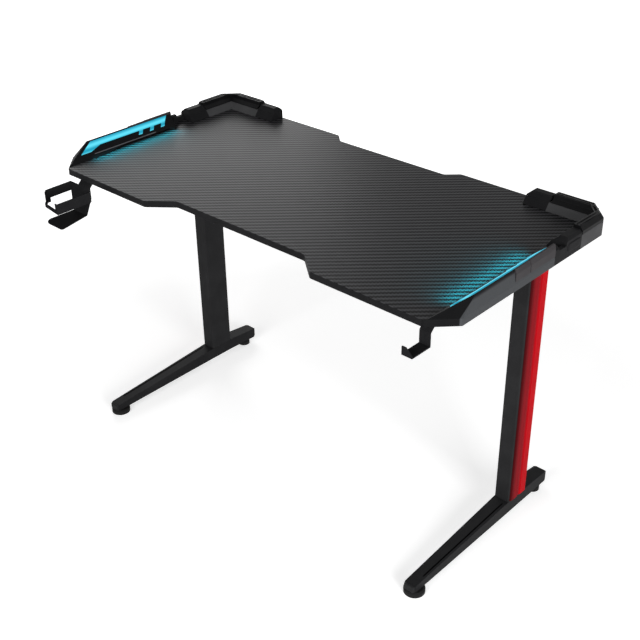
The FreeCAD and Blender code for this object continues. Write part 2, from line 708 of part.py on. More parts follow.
def skirt_strip(side, start, end):
    """Plan of a straight piece of skirt along the end of the board."""
    return mirrored(side, [
        (f"{END} - skirt_thickness", start),
        (END, start),
        (END, end),
        (f"{END} - skirt_thickness", end),
    ])


def wing_end_block(side):
    """Bevelled block behind the wing, with a low wall and a piece of skirt on to the corner guard."""
    body = new_body(f"{side}_wing_end_block")
    foot = f"{END} - wing_width + end_block_inset"
    rear = f"{WING_REAR} + end_block_length"
    extrude(body, "y", WING_REAR, "end_block_length", mirrored(side, [
        (foot, TOP),
        (END, TOP),
        (END, f"{TOP} + end_block_height - end_block_bevel"),
        (f"{END} - end_block_bevel", f"{TOP} + end_block_height"),
        (f"{foot} + end_block_bevel", f"{TOP} + end_block_height"),
        (foot, f"{TOP} + end_block_height - end_block_bevel"),
    ]))
    extrude(body, "y", rear, f"{SIDE_BLOCK_FRONT} - ({rear})", mirrored(side, [
        (f"{END} - bridge_width", TOP),
        (END, TOP),
        (END, f"{TOP} + bridge_height"),
        (f"{END} - bridge_width", f"{TOP} + bridge_height"),
    ]))
    extrude(body, "z", BOARD_BOTTOM, BOARD_THICKNESS, skirt_strip(side, WING_REAR, SIDE_BLOCK_FRONT))
    trim_screw_holes(body, TOP, end_block_screw_places(side), TRIM_BITE)
    keep(body, f"{side}_wing_end_block")


# Corner guards

SIDE_BLOCK_REAR = f"({SIDE_BLOCK_FRONT} + block_length)"
REAR_BLOCK_TIP = f"({END} - guard_rear_length)"
REAR_BLOCK_ROOT = f"({REAR_BLOCK_TIP} + block_length)"
BASE_RISE = "(base_wall + base_bevel_rise)"
BASE_TOP = f"({TOP} + {BASE_RISE})"
CAP_WALL = "(guard_width - cap_inset)"
CAP_LEDGE = f"({CAP_WALL} - cap_bevel)"
BLOCK_INNER = "(guard_width + block_lip)"


def guard_plan(side, inner, outer, side_end, rear_end):
    """Plan of an angle round the rear corner; inner and outer are set in from the board's outline."""
    return mirrored(side, [
        (f"{END} - {outer}", side_end),
        (f"{END} - {outer}", f"{REAR} - rear_chamfer - {outer} * {MITRE}"),
        (f"{END} - rear_chamfer - {outer} * {MITRE}", f"{REAR} - {outer}"),
        (rear_end, f"{REAR} - {outer}"),
        (rear_end, f"{REAR} - {inner}"),
        (f"{END} - {inner}", f"{REAR} - {inner}"),
        (f"{END} - {inner}", side_end),
    ])


def guard_base(side):
    """Angled base with a sloped inner side and a skirt over the board's end and corner."""
    body = new_body(f"{side}_guard_base")
    levels = [
        ("0", "guard_width"),
        ("base_wall", "guard_width"),
        (BASE_RISE, "(guard_width - base_bevel)"),
    ]
    loft(body, "Additive", "z", [
        (f"{TOP} + {rise}", guard_plan(side, inner, "0", SIDE_BLOCK_REAR, REAR_BLOCK_ROOT))
        for rise, inner in levels])
    extrude(body, "z", BOARD_BOTTOM, BOARD_THICKNESS, mirrored(side, [
        (END, SIDE_BLOCK_REAR),
        (END, f"{REAR} - rear_chamfer"),
        (f"{END} - rear_chamfer", REAR),
        (f"{END} - rear_chamfer - skirt_thickness * {DIAGONAL}", REAR),
        (f"{END} - skirt_thickness", f"{REAR} - rear_chamfer - skirt_thickness * {MITRE}"),
        (f"{END} - skirt_thickness", SIDE_BLOCK_REAR),
    ]))
    trim_screw_holes(body, TOP, guard_screw_places(side), TRIM_BITE)
    keep(body, f"{side}_guard_base")


def guard_cap(side):
    """Upper angle of the guard: a sloped ledge on the inside and a chamfered top."""
    body = new_body(f"{side}_guard_cap")
    levels = [
        ("0", CAP_WALL, "0"),
        ("cap_wall", CAP_WALL, "0"),
        ("cap_wall + cap_bevel_rise", CAP_LEDGE, "0"),
        ("cap_wall + cap_bevel_rise + cap_top_rise", f"({CAP_LEDGE} - cap_top_inset)", "cap_edge"),
    ]
    side_end = f"({REAR} - cap_side_length)"
    rear_end = f"({END} - cap_rear_length)"
    loft(body, "Additive", "z", [
        (f"{BASE_TOP} + {rise}", guard_plan(side, inner, outer, side_end, rear_end))
        for rise, inner, outer in levels])
    keep(body, f"{side}_guard_cap")


def block_section():
    """Section of an end block, in insets from the outer edge and heights: it goes on from base and cap."""
    ledge = f"({BASE_RISE} + cap_wall + cap_bevel_rise)"
    return [
        ("0", "0"),
        (BLOCK_INNER, "0"),
        (BLOCK_INNER, "base_wall"),
        (f"({BLOCK_INNER} - base_bevel)", BASE_RISE),
        (CAP_WALL, BASE_RISE),
        (CAP_WALL, f"({BASE_RISE} + cap_wall)"),
        (CAP_LEDGE, ledge),
        (f"({CAP_LEDGE} - cap_top_inset)", "block_height"),
        ("block_chamfer", "block_height"),
        ("0", "(block_height - block_chamfer)"),
    ]


def block_nose(tip):
    """Side view of what is cut off an end block to leave a sloped nose at its tip."""
    crown = f"({TOP} + block_height)"
    return [
        (tip, f"{crown} - block_nose_drop"),
        (f"{tip} + block_nose_run", crown),
        (f"{tip} + block_nose_run", f"{crown} + overrun"),
        (f"{tip} - overrun", f"{crown} + overrun"),
        (f"{tip} - overrun", f"{crown} - block_nose_drop"),
    ]


def guard_side_block(side):
    """End block of the guard arm along the board's end, with its piece of skirt."""
    body = new_body(f"{side}_guard_side_block")
    outline = [(f"{END} - {inset}", f"{TOP} + {rise}") for inset, rise in block_section()]
    extrude(body, "y", SIDE_BLOCK_FRONT, "block_length", mirrored(side, outline))
    start = f"{END} - {BLOCK_INNER}" if side == "right" else f"-{END}"
    nose = section(body, "x", f"{start} - overrun", block_nose(SIDE_BLOCK_FRONT))
    pocket(body, nose, f"{BLOCK_INNER} + 2 * overrun", backwards=True)
    extrude(body, "z", BOARD_BOTTOM, BOARD_THICKNESS, skirt_strip(side, SIDE_BLOCK_FRONT, SIDE_BLOCK_REAR))
    trim_screw_holes(body, TOP, side_block_screw_places(side), TRIM_BITE)
    keep(body, f"{side}_guard_side_block")


def guard_rear_block(side):
    """End block of the guard arm along the rear edge."""
    body = new_body(f"{side}_guard_rear_block")
    start = REAR_BLOCK_TIP if side == "right" else f"-{REAR_BLOCK_ROOT}"
    outline = [(f"{REAR} - {inset}", f"{TOP} + {rise}") for inset, rise in block_section()]
    extrude(body, "x", start, "block_length", outline)
    nose = section(body, "y", f"{REAR} - {BLOCK_INNER} - overrun", mirrored(side, block_nose(REAR_BLOCK_TIP)))
    pocket(body, nose, f"{BLOCK_INNER} + 2 * overrun")
    trim_screw_holes(body, TOP, rear_block_screw_places(side), TRIM_BITE)
    keep(body, f"{side}_guard_rear_block")


# Legs

COLUMN_TOP = f"({BOARD_BOTTOM} - bracket_wall)"
BRACKET_INNER = "(column_width + 2 * fit_clearance)"
BRACKET_OUTER = f"({BRACKET_INNER} + 2 * bracket_wall)"


def rectangle(x, y, width, depth):
    """Corners of a rectangle about a centre."""
    return [
        (f"{x} - ({width}) / 2", f"{y} - ({depth}) / 2"),
        (f"{x} + ({width}) / 2", f"{y} - ({depth}) / 2"),
        (f"{x} + ({width}) / 2", f"{y} + ({depth}) / 2"),
        (f"{x} - ({width}) / 2", f"{y} + ({depth}) / 2"),
    ]


def column_plan(side, inset):
    """Plan of the column, set in all round."""
    width = f"column_width - 2 * ({inset})"
    depth = f"column_depth - 2 * ({inset})"
    return mirrored(side, rectangle(COLUMN_X, COLUMN_Y, width, depth))


def leg_column(side):
    """Rectangular tube with rounded corners, outside and inside."""
    body = new_body(f"{side}_leg_column")
    height = f"{COLUMN_TOP} - foot_crest"
    tube = extrude(body, "z", "foot_crest", height, column_plan(side, "0"), column_plan(side, "column_wall"))
    doc.recompute()
    box = tube.Shape.BoundBox

    def outside(start, end):
        faces = (box.XMin, box.XMax)
        return upright(start, end) and any(math.isclose(start.x, face, abs_tol=NEAR) for face in faces)

    rounded = dress(body, "Fillet", tube, edges_where(tube, outside), Radius="column_radius")

    def inside(start, end):
        return upright(start, end) and box.XMin < start.x < box.XMax and box.YMin < start.y < box.YMax

    dress(body, "Fillet", rounded, edges_where(rounded, inside), Radius="column_radius - column_wall")
    keep(body, f"{side}_leg_column")


def column_plate(side):
    """Threaded plate in the foot of the column, for the two bolts from below."""
    body = new_body(f"{side}_column_plate")
    plate = extrude(body, "z", "foot_crest", "column_plate", column_plan(side, "column_wall + fit_clearance"))
    dress(body, "Fillet", plate, edges_where(plate, upright), Radius="column_radius - column_wall")
    bore = "foot_bolt_radius + screw_play"
    drill(body, "foot_crest", foot_bolt_places(side), bore, "column_plate + overrun")
    keep(body, f"{side}_column_plate")


def trim_profile(side):
    """Plan of the red panel: two ribs with a groove between and sloped edges; the front rib falls forward."""
    face = f"({COLUMN_X} + column_width / 2)"
    foot = f"{face} + trim_base"
    crown = f"{foot} + trim_rise"
    front = f"({COLUMN_Y} - trim_width / 2)"
    rear = f"({COLUMN_Y} + trim_width / 2)"
    return mirrored(side, [
        (face, front),
        (face, rear),
        (crown, f"{rear} - trim_slope"),
        (crown, f"{rear} - rib_width + rib_bevel"),
        (foot, f"{rear} - rib_width"),
        (foot, f"{front} + rib_width"),
        (crown, f"{front} + rib_width - rib_bevel"),
        (f"{crown} - rib_fall", f"{front} + trim_slope"),
    ])


def leg_trim(side):
    """Red panel on the outer face of the column, between foot bar and top bracket."""
    body = new_body(f"{side}_leg_trim")
    top = f"({BOARD_BOTTOM} - bracket_depth - trim_gap)"
    extrude(body, "z", "foot_crest + trim_gap", f"{top} - foot_crest - trim_gap", trim_profile(side))
    keep(body, f"{side}_leg_trim")


def top_bracket(side):
    """Channel under the board that holds the column between its flanges."""
    body = new_body(f"{side}_top_bracket")
    front = f"{FRONT} + bracket_front_setback"
    floor = f"{BOARD_BOTTOM} - bracket_depth"
    outer = f"{BRACKET_OUTER} / 2"
    inner = f"{BRACKET_INNER} / 2"
    extrude(body, "y", front, "desk_depth - bracket_front_setback - bracket_rear_setback", mirrored(side, [
        (f"{COLUMN_X} - {outer}", floor),
        (f"{COLUMN_X} - {inner}", floor),
        (f"{COLUMN_X} - {inner}", COLUMN_TOP),
        (f"{COLUMN_X} + {inner}", COLUMN_TOP),
        (f"{COLUMN_X} + {inner}", floor),
        (f"{COLUMN_X} + {outer}", floor),
        (f"{COLUMN_X} + {outer}", BOARD_BOTTOM),
        (f"{COLUMN_X} - {outer}", BOARD_BOTTOM),
    ]))
    web = f"{COLUMN_TOP} - overrun"
    board_screw_holes(body, web, bracket_screw_places(side), "bracket_wall + 2 * overrun")
    flange = sketch_on(body, "YZ_Plane", f"{SIDES[side]} * ({COLUMN_X} - {outer} - overrun)")
    draw_circles(flange, rail_bolt_places(), "rail_bolt_radius + screw_play")
    pocket(body, flange, "bracket_wall + 2 * overrun", backwards=side == "right")
    keep(body, f"{side}_top_bracket")


# Foot bars

TOE_Y = f"({FRONT} + toe_setback)"
HEEL_Y = f"({REAR} - heel_setback)"
CREST_FRONT = f"({COLUMN_Y} - column_depth / 2)"
CREST_REAR = f"({COLUMN_Y} + column_depth / 2)"
TOE = ("toe_width", "toe_bottom", "toe_top")
CREST = ("crest_width", "foot_arch", "foot_crest")
HEEL = ("heel_width", "heel_bottom", "heel_top")


def bar_section(side, shape, inset="0", share="1"):
    """Cross section of the foot bar, set in all round or drawn in towards its middle by a share."""
    width, bottom, top = shape
    middle = f"(({bottom} + {top}) / 2)"
    across = f"({width} - 2 * ({inset})) * {share}"
    tall = f"({top} - {bottom} - 2 * ({inset})) * {share}"
    return mirrored(side, rectangle(COLUMN_X, middle, across, tall))


def foot_bar(side):
    """Tapered closed bar, highest under the column, with holes for studs and bolts."""
    body = new_body(f"{side}_foot_bar")
    stations = [(TOE_Y, TOE), (CREST_FRONT, CREST), (CREST_REAR, CREST), (HEEL_Y, HEEL)]
    loft(body, "Additive", "y", [(at, bar_section(side, shape)) for at, shape in stations])
    loft(body, "Subtractive", "y", [(at, bar_section(side, shape, "foot_wall")) for at, shape in stations])
    drill(body, "0", leveller_places(side), "stud_radius + 2 * stud_clearance", "foot_arch")
    drill(body, "0", foot_bolt_places(side), "foot_bolt_radius + screw_play", "foot_crest + overrun")
    keep(body, f"{side}_foot_bar")


def bar_cap(side, name, root, shape, sense):
    """Plastic nose and plug at an end of the foot bar; sense is the way that the nose points."""
    body = new_body(f"{side}_{name}")
    tip = f"{root} + {sense} * foot_cap_length"
    nose = bar_section(side, shape, share="nose_share")
    loft(body, "Additive", "y", [(root, bar_section(side, shape)), (tip, nose)])
    start = root if sense < 0 else f"{root} - plug_length"
    extrude(body, "y", start, "plug_length", bar_section(side, shape, "2 * foot_wall"))
    keep(body, f"{side}_{name}")


# Levelling feet

def leveller_places(side):
    return mirrored(side, [
        (COLUMN_X, f"{FRONT} + leveller_setback"),
        (COLUMN_X, f"{REAR} - leveller_rear_setback"),
    ])


def nut_seat(end):
    """Lowest level at which the weld nut lies clear inside the sloping underside of the bar."""
    if end == "front":
        slope = f"((foot_arch - toe_bottom) / ({CREST_FRONT} - {TOE_Y}))"
        level = f"(toe_bottom + {slope} * (leveller_setback - toe_setback))"
    else:
        slope = f"((foot_arch - heel_bottom) / ({HEEL_Y} - {CREST_REAR}))"
        level = f"(heel_bottom + {slope} * (leveller_rear_setback - heel_setback))"
    return f"({level} + {slope} * nut_radius + foot_wall + fit_clearance)"


def cylinder(name, radius, height, place, tilt=None):
    """Plain cylinder that stands on a place, or lies along X where tilt turns it."""
    item = doc.addObject("Part::Cylinder", name)
    if tilt:
        item.Placement = FreeCAD.Placement(FreeCAD.Vector(), FreeCAD.Rotation(FreeCAD.Vector(0, 1, 0), tilt))
    x, y, z = place
    bind(item, Radius=radius, Height=height, Placement__Base__x=x, Placement__Base__y=y, Placement__Base__z=z)
    return item


def group(label, items):
    """Several separate solids under one name."""
    compound = doc.addObject("Part::Compound", label)
    compound.Links = items
    keep(compound, label)


def leveller(side, end, place):
    """Levelling foot: a turned pad with a blind bore, and the stud that stands in it."""
    x, y = place
    kind = "" if end == "front" else "rear_"
    foot_radius, flat_radius = f"{kind}pad_radius", f"{kind}pad_top_radius"
    pad_body = new_body(f"{side}_{end}_leveller_pad")
    profile = section(pad_body, "y", "0", [
        ("0", "0"),
        (foot_radius, "0"),
        (foot_radius, "pad_rim"),
        (flat_radius, "pad_height"),
        ("stud_radius + stud_clearance", "pad_height"),
        ("stud_radius + stud_clearance", "stud_seat"),
        ("0", "stud_seat"),
    ])
    turned = pad_body.newObject("PartDesign::Revolution", f"{pad_body.Name}_turned")
    turned.Profile = profile
    turned.ReferenceAxis = (profile, ["V_Axis"])
    bind(pad_body, Placement__Base__x=x, Placement__Base__y=y)
    keep(pad_body, f"{side}_{end}_leveller_pad")

    length = f"{nut_seat(end)} + nut_height + leveller_travel - stud_seat"
    stud = cylinder(f"{side}_{end}_leveller_stud", "stud_radius", length, (x, y, "stud_seat"))
    keep(stud, f"{side}_{end}_leveller_stud")


def weld_nut(side, end, place):
    """Hexagon nut on the inside of the bar's underside."""
    x, y = place
    seat = nut_seat(end)
    blank = doc.addObject("Part::Prism", "nut_blank")
    blank.Polygon = NUT_CORNERS
    bind(blank, Circumradius="nut_radius", Height="nut_height",
         Placement__Base__x=x, Placement__Base__y=y, Placement__Base__z=seat)
    below = f"{seat} - overrun"
    bore = cylinder("nut_bore", "stud_radius + stud_clearance", "nut_height + 2 * overrun", (x, y, below))
    nut = doc.addObject("Part::Cut", "weld_nut")
    nut.Base = blank
    nut.Tool = bore
    return nut


def levelling_feet():
    nuts = []
    for side in SIDES:
        for end, place in zip(("front", "rear"), leveller_places(side)):
            leveller(side, end, place)
            nuts.append(weld_nut(side, end, place))
    group("leveller_nuts", nuts)


# Rails

RAIL_TIP = f"({COLUMN_X} - {BRACKET_OUTER} / 2)"
RAIL_PLACES = {"front": f"({FRONT} + front_rail_setback)", "rear": f"({REAR} - rear_rail_setback)"}
RAIL_MIDDLE = f"({BOARD_BOTTOM} - rail_height / 2)"


def rail_bolt_places():
    """Bolts of both rails, as seen from the end of the desk."""
    return [place for y in RAIL_PLACES.values() for place in rail_end_places(y)]


def rail_end_places(y):
    return [(f"{y} + {sense} * rail_bolt_spacing / 2", RAIL_MIDDLE) for sense in (-1, 1)]


def rail_section(y, inset):
    """Section of a rail, set in all round."""
    return rectangle(y, RAIL_MIDDLE, f"rail_depth - 2 * ({inset})", f"rail_height - 2 * ({inset})")


def cross_rail(end):
    """Rectangular tube between the top brackets."""
    body = new_body(f"{end}_rail")
    outer = rail_section(RAIL_PLACES[end], "0")
    inner = rail_section(RAIL_PLACES[end], "rail_wall")
    extrude(body, "x", f"-{RAIL_TIP}", f"2 * {RAIL_TIP}", outer, inner)
    keep(body, f"{end}_rail")


def rail_plates():
    """Threaded plates inside the four rail ends."""
    plates = []
    for side in SIDES:
        for y in RAIL_PLACES.values():
            body = new_body("rail_plate")
            start = f"{RAIL_TIP} - rail_plate" if side == "right" else f"-{RAIL_TIP}"
            extrude(body, "x", start, "rail_plate", rail_section(y, "rail_wall + fit_clearance"))
            holes = sketch_on(body, "YZ_Plane", f"{start} - overrun")
            draw_circles(holes, rail_end_places(y), "rail_bolt_radius + screw_play")
            pocket(body, holes, "rail_plate + 2 * overrun", backwards=True)
            plates.append(body)
    group("rail_plates", plates)


# Cup holder and headset hook

def bent_sheet(tab, bend, bevel, drop, run, sheet, lip=None):
    """Side view of a bent strip: tab under the board, sloped bend, drop, seat and upturned lip.

    One face of the sheet goes through the given corners, and the other lies a sheet below or behind it.
    """
    wall = f"({FRONT} + {bend} - {bevel})"
    seat = f"({BOARD_BOTTOM} - {drop})"
    tip = f"({wall} - {run})"
    face = [
        (f"{FRONT} + {tab}", BOARD_BOTTOM),
        (f"{FRONT} + {bend}", BOARD_BOTTOM),
        (wall, f"{BOARD_BOTTOM} - {bevel}"),
        (wall, seat),
        (tip, seat),
    ]
    back = [
        (f"{tip} - {sheet}" if lip else tip, f"{seat} - {sheet}"),
        (f"{wall} + {sheet}", f"{seat} - {sheet}"),
        (f"{wall} + {sheet}", f"{BOARD_BOTTOM} - {bevel} - {sheet} * {MITRE}"),
        (f"{FRONT} + {bend} + {sheet} * {MITRE}", f"{BOARD_BOTTOM} - {sheet}"),
        (f"{FRONT} + {tab}", f"{BOARD_BOTTOM} - {sheet}"),
    ]
    end = [(tip, f"{seat} + {lip}"), (f"{tip} - {sheet}", f"{seat} + {lip}")] if lip else []
    return face + end + back


CUP_X = f"(cup_offset - {END})"
CUP_LEFT = f"({CUP_X} - cup_width / 2)"
CUP_RIGHT = f"({CUP_X} + cup_width / 2)"
CUP_PLATE = f"({FRONT} + cup_bend - cup_bevel)"
RING_TOP = f"({BOARD_BOTTOM} - ring_fall)"
RING_BOTTOM = f"({RING_TOP} - ring_height - strap_drop)"
RING_FRONT = f"({FRONT} - cup_reach)"
RING_CORNER = f"({RING_FRONT} + ring_skew)"
RING_SLOPE = "((ring_skew - ring_bevel) / (cup_width - ring_bevel))"


def cup_holder():
    """Bent steel cup holder: tab, plate, rounded tongue and a ring of two arms and a low front strap."""
    body = new_body("cup_holder")
    strip = bent_sheet("cup_tab", "cup_bend", "cup_bevel", "cup_drop", "tongue_length", "cup_sheet")
    extrude(body, "x", CUP_LEFT, "cup_width", strip)

    # Above the arms the tab is narrower than the plate.
    neck = sketch_on(body, "XY_Plane", f"{BOARD_BOTTOM} + overrun")
    draw_loop(neck, [
        (f"{CUP_LEFT} - overrun", f"{CUP_PLATE} - overrun"),
        (f"{CUP_LEFT} + tab_cut", f"{CUP_PLATE} - overrun"),
        (f"{CUP_LEFT} + tab_cut", f"{FRONT} + cup_tab + overrun"),
        (f"{CUP_LEFT} - overrun", f"{FRONT} + cup_tab + overrun"),
    ])
    pocket(body, neck, "ring_fall + overrun")

    # Below the arms the plate's right edge slopes in, and the tongue widens again towards its end.
    seat = f"({BOARD_BOTTOM} - cup_drop - cup_sheet)"
    slope = section(body, "y", CUP_PLATE, [
        (CUP_RIGHT, f"{BOARD_BOTTOM} - plate_taper_fall"),
        (f"{CUP_RIGHT} - plate_taper", seat),
        (f"{CUP_RIGHT} - plate_taper", f"{seat} - overrun"),
        (f"{CUP_RIGHT} + overrun", f"{seat} - overrun"),
        (f"{CUP_RIGHT} + overrun", f"{BOARD_BOTTOM} - plate_taper_fall"),
    ])
    pocket(body, slope, "cup_sheet + overrun")
    trim = sketch_on(body, "XY_Plane", f"{BOARD_BOTTOM} - cup_drop + overrun")
    draw_loop(trim, [
        (f"{CUP_RIGHT} - plate_taper", CUP_PLATE),
        (f"{CUP_LEFT} + tongue_width", f"{CUP_PLATE} - tongue_length"),
        (f"{CUP_LEFT} + tongue_width", f"{CUP_PLATE} - tongue_length - overrun"),
        (f"{CUP_RIGHT} + overrun", f"{CUP_PLATE} - tongue_length - overrun"),
        (f"{CUP_RIGHT} + overrun", CUP_PLATE),
    ])
    tongue = pocket(body, trim, "cup_sheet + 2 * overrun")
    for radius, left in (("tongue_radius", True), ("tongue_corner", False)):
        doc.recompute()
        box = tongue.Shape.BoundBox

        def corner(start, end):
            at_left = math.isclose(start.x, box.XMin, abs_tol=NEAR)
            return upright(start, end) and math.isclose(start.y, box.YMin, abs_tol=NEAR) and at_left == left

        tongue = dress(body, "Fillet", tongue, edges_where(tongue, corner), Radius=radius)

    # Plan of the ring: two arms and a slanted front with a cut corner, as one strip.
    root = f"({CUP_PLATE} + cup_sheet / 2)"
    bevel_x = f"({CUP_LEFT} + ring_bevel)"
    bevel_y = f"({RING_CORNER} - ring_bevel)"
    extrude(body, "z", RING_BOTTOM, "ring_height + strap_drop", [
        (CUP_LEFT, root),
        (CUP_LEFT, RING_CORNER),
        (bevel_x, bevel_y),
        (CUP_RIGHT, RING_FRONT),
        (CUP_RIGHT, root),
        (f"{CUP_RIGHT} - cup_sheet", root),
        (f"{CUP_RIGHT} - cup_sheet", f"{RING_FRONT} + cup_sheet * (1 + {RING_SLOPE})"),
        (f"{bevel_x} + cup_sheet * corner_across_share", f"{bevel_y} + cup_sheet * corner_along_share"),
        (f"{CUP_LEFT} + cup_sheet", f"{RING_CORNER} + cup_sheet * {MITRE}"),
        (f"{CUP_LEFT} + cup_sheet", root),
    ])

    # The left arm ends above the strap, the right arm starts lower, and the front keeps a strap and two legs.
    under = sketch_on(body, "XY_Plane", f"{RING_BOTTOM} + strap_drop")
    draw_loop(under, [
        (f"{CUP_LEFT} - overrun", f"{RING_CORNER} + strap_leg"),
        (CUP_X, f"{RING_CORNER} + strap_leg"),
        (CUP_X, CUP_PLATE),
        (f"{CUP_LEFT} - overrun", CUP_PLATE),
    ])
    pocket(body, under, "strap_drop + overrun")
    above = sketch_on(body, "XY_Plane", f"{RING_TOP} + overrun")
    draw_loop(above, [
        (f"{CUP_RIGHT} - strap_leg", f"{RING_FRONT} - overrun"),
        (f"{CUP_RIGHT} + overrun", f"{RING_FRONT} - overrun"),
        (f"{CUP_RIGHT} + overrun", CUP_PLATE),
        (f"{CUP_RIGHT} - strap_leg", CUP_PLATE),
    ])
    pocket(body, above, "near_arm_fall + overrun")
    window = sketch_on(body, "XY_Plane", f"{RING_TOP} + overrun")
    draw_loop(window, [
        (f"{CUP_LEFT} + strap_leg", f"{RING_FRONT} - overrun"),
        (f"{CUP_RIGHT} - strap_leg", f"{RING_FRONT} - overrun"),
        (f"{CUP_RIGHT} - strap_leg", f"{RING_CORNER} + strap_leg"),
        (f"{CUP_LEFT} + strap_leg", f"{RING_CORNER} + strap_leg"),
    ])
    pocket(body, window, "ring_height + strap_drop - strap_height + overrun")

    tab = f"{BOARD_BOTTOM} - cup_sheet - overrun"
    board_screw_holes(body, tab, cup_screw_places(), "cup_sheet + 2 * overrun")
    keep(body, "cup_holder")


HOOK_X = f"({END} - hook_offset)"


def headset_hook():
    """Bent steel strip under the right front corner, with an upturned lip cut across its right corner."""
    body = new_body("headset_hook")
    sizes = ("hook_tab", "hook_bend", "hook_bevel", "hook_drop", "hook_run", "hook_sheet", "hook_lip")
    strip = bent_sheet(*sizes)
    extrude(body, "x", f"{HOOK_X} - hook_width / 2", "hook_width", strip)
    lip = f"({FRONT} + hook_bend - hook_bevel - hook_run - hook_sheet)"
    edge = f"({HOOK_X} + hook_width / 2)"
    crown = f"({BOARD_BOTTOM} - hook_drop + hook_lip)"
    corner = section(body, "y", f"{lip} - overrun", [
        (f"{edge} - lip_cut - overrun", f"{crown} + overrun"),
        (f"{edge} + overrun", f"{crown} + overrun"),
        (f"{edge} + overrun", f"{crown} - lip_cut - overrun"),
    ])
    pocket(body, corner, "hook_sheet + 2 * overrun")
    tab = f"{BOARD_BOTTOM} - hook_sheet - overrun"
    board_screw_holes(body, tab, hook_screw_places(), "hook_sheet + 2 * overrun")
    keep(body, "headset_hook")


# Light controller

BOX_X = f"({COLUMN_X} - controller_offset)"
BOX_FRONT = f"({FRONT} + controller_setback)"
BOX_REAR = f"({BOX_FRONT} + controller_depth)"
BOX_Y = f"({BOX_FRONT} + controller_depth / 2)"
BOX_MIDDLE = f"({BOARD_BOTTOM} - controller_height / 2)"
BOX_FLOOR = f"({BOARD_BOTTOM} - controller_height + controller_wall)"
STEM_END = f"({BOX_FRONT} + controller_wall + button_stem)"


def box_plan(inset):
    """Plan of the controller box, set in all round."""
    width = f"controller_length - 2 * ({inset})"
    depth = f"controller_depth - 2 * ({inset})"
    return rectangle(BOX_X, BOX_Y, width, depth)


def controller_box():
    """Box under the board, open towards it, with screw ears and holes for button and power inlet."""
    body = new_body("controller_box")
    extrude(body, "z", f"{BOARD_BOTTOM} - controller_height", "controller_height", box_plan("0"))
    ears = rectangle(BOX_X, BOX_Y, "controller_length + 2 * ear_length", "controller_depth / 2")
    extrude(body, "z", f"{BOARD_BOTTOM} - ear_thickness", "ear_thickness", ears)
    inside = section(body, "z", BOARD_BOTTOM, box_plan("controller_wall"))
    pocket(body, inside, "controller_height - controller_wall")
    holes = ((BOX_FRONT, "button_radius + button_clearance"), (BOX_REAR, "inlet_radius + fit_clearance"))
    for at, radius in holes:
        hole = sketch_on(body, "XZ_Plane", f"-({at} - controller_wall - overrun)")
        draw_circles(hole, [(BOX_X, BOX_MIDDLE)], radius)
        pocket(body, hole, "2 * (controller_wall + overrun)")
    ear = f"{BOARD_BOTTOM} - ear_thickness - overrun"
    board_screw_holes(body, ear, controller_screw_places(), "ear_thickness + 2 * overrun")
    keep(body, "controller_box")


def round_pad(body, start, length, radius):
    """Round stretch along the desk's depth, on the controller's middle line."""
    sketch = sketch_on(body, "XZ_Plane", f"-({start})")
    draw_circles(sketch, [(BOX_X, BOX_MIDDLE)], radius)
    return pad(body, sketch, length, backwards=True)


def mode_button():
    """Push button with a flange behind the wall of its box."""
    body = new_body("mode_button")
    face = f"({BOX_FRONT} - button_proud)"
    round_pad(body, face, f"{STEM_END} - {face}", "button_radius")
    round_pad(body, f"{BOX_FRONT} + controller_wall", "button_flange", "button_radius + button_flange")
    keep(body, "mode_button")


def power_inlet():
    """Round socket in the rear wall of the box."""
    body = new_body("power_inlet")
    round_pad(body, f"({BOX_REAR} - inlet_length)", "inlet_length", "inlet_radius")
    bore = sketch_on(body, "XZ_Plane", f"-({BOX_REAR} + overrun)")
    draw_circles(bore, [(BOX_X, BOX_MIDDLE)], "inlet_bore")
    pocket(body, bore, "inlet_depth + overrun", backwards=True)
    keep(body, "power_inlet")


def control_board():
    """Circuit board on the floor of the box, with the switch that the button's stem works."""
    body = new_body("control_board")
    play = "(controller_wall + fit_clearance)"
    front = f"({BOX_FRONT} + controller_wall + button_flange + button_travel + fit_clearance)"
    rear = f"({BOX_REAR} - {play})"
    width = f"controller_length - 2 * {play}"
    extrude(body, "z", BOX_FLOOR, "circuit_thickness",
            rectangle(BOX_X, f"({front} + {rear}) / 2", width, f"{rear} - {front}"))
    switch_middle = f"({STEM_END} + button_travel + fit_clearance + switch_depth / 2)"
    switch_height = f"{BOX_MIDDLE} + button_radius / 2 - {BOX_FLOOR} - circuit_thickness"
    extrude(body, "z", f"{BOX_FLOOR} + circuit_thickness", switch_height,
            rectangle(BOX_X, switch_middle, "2 * button_radius", "switch_depth"))
    keep(body, "control_board")


# Fasteners

def bracket_screw_places(side):
    rows = [
        f"{FRONT} + screw_front_setback",
        f"{COLUMN_Y} - column_depth / 2 - screw_mid_setback",
        f"{REAR} - screw_back_setback",
        f"{REAR} - screw_rear_setback",
    ]
    return mirrored(side, [(COLUMN_X, row) for row in rows])


def cup_screw_places():
    row = f"{FRONT} + (cup_tab + cup_bend) / 2"
    quarter = "(cup_width - tab_cut) / 4"
    return [(f"{CUP_RIGHT} - {step} * {quarter}", row) for step in (1, 3)]


def hook_screw_places():
    third = "(hook_tab - hook_bend) / 3"
    rows = (f"{FRONT} + hook_tab - {third} / 2", f"{FRONT} + hook_tab - 2 * {third}")
    return [(HOOK_X, row) for row in rows]


def controller_screw_places():
    reach = "(controller_length / 2 + ear_length / 2)"
    row = f"{BOX_FRONT} + controller_depth / 2"
    return [(f"{BOX_X} + {sense} * {reach}", row) for sense in (-1, 1)]


def board_screw_places():
    """Pilot holes in the core for all screws that end inside it."""
    brackets = [place for side in SIDES for place in bracket_screw_places(side)]
    return brackets + cup_screw_places() + hook_screw_places() + controller_screw_places()


def wing_screw_places(side):
    rows = ("wing_screw_front", "wing_screw_mid", "wing_screw_rear")
    return mirrored(side, [(f"{END} - wing_width / 2", f"{FRONT} + {row}") for row in rows])


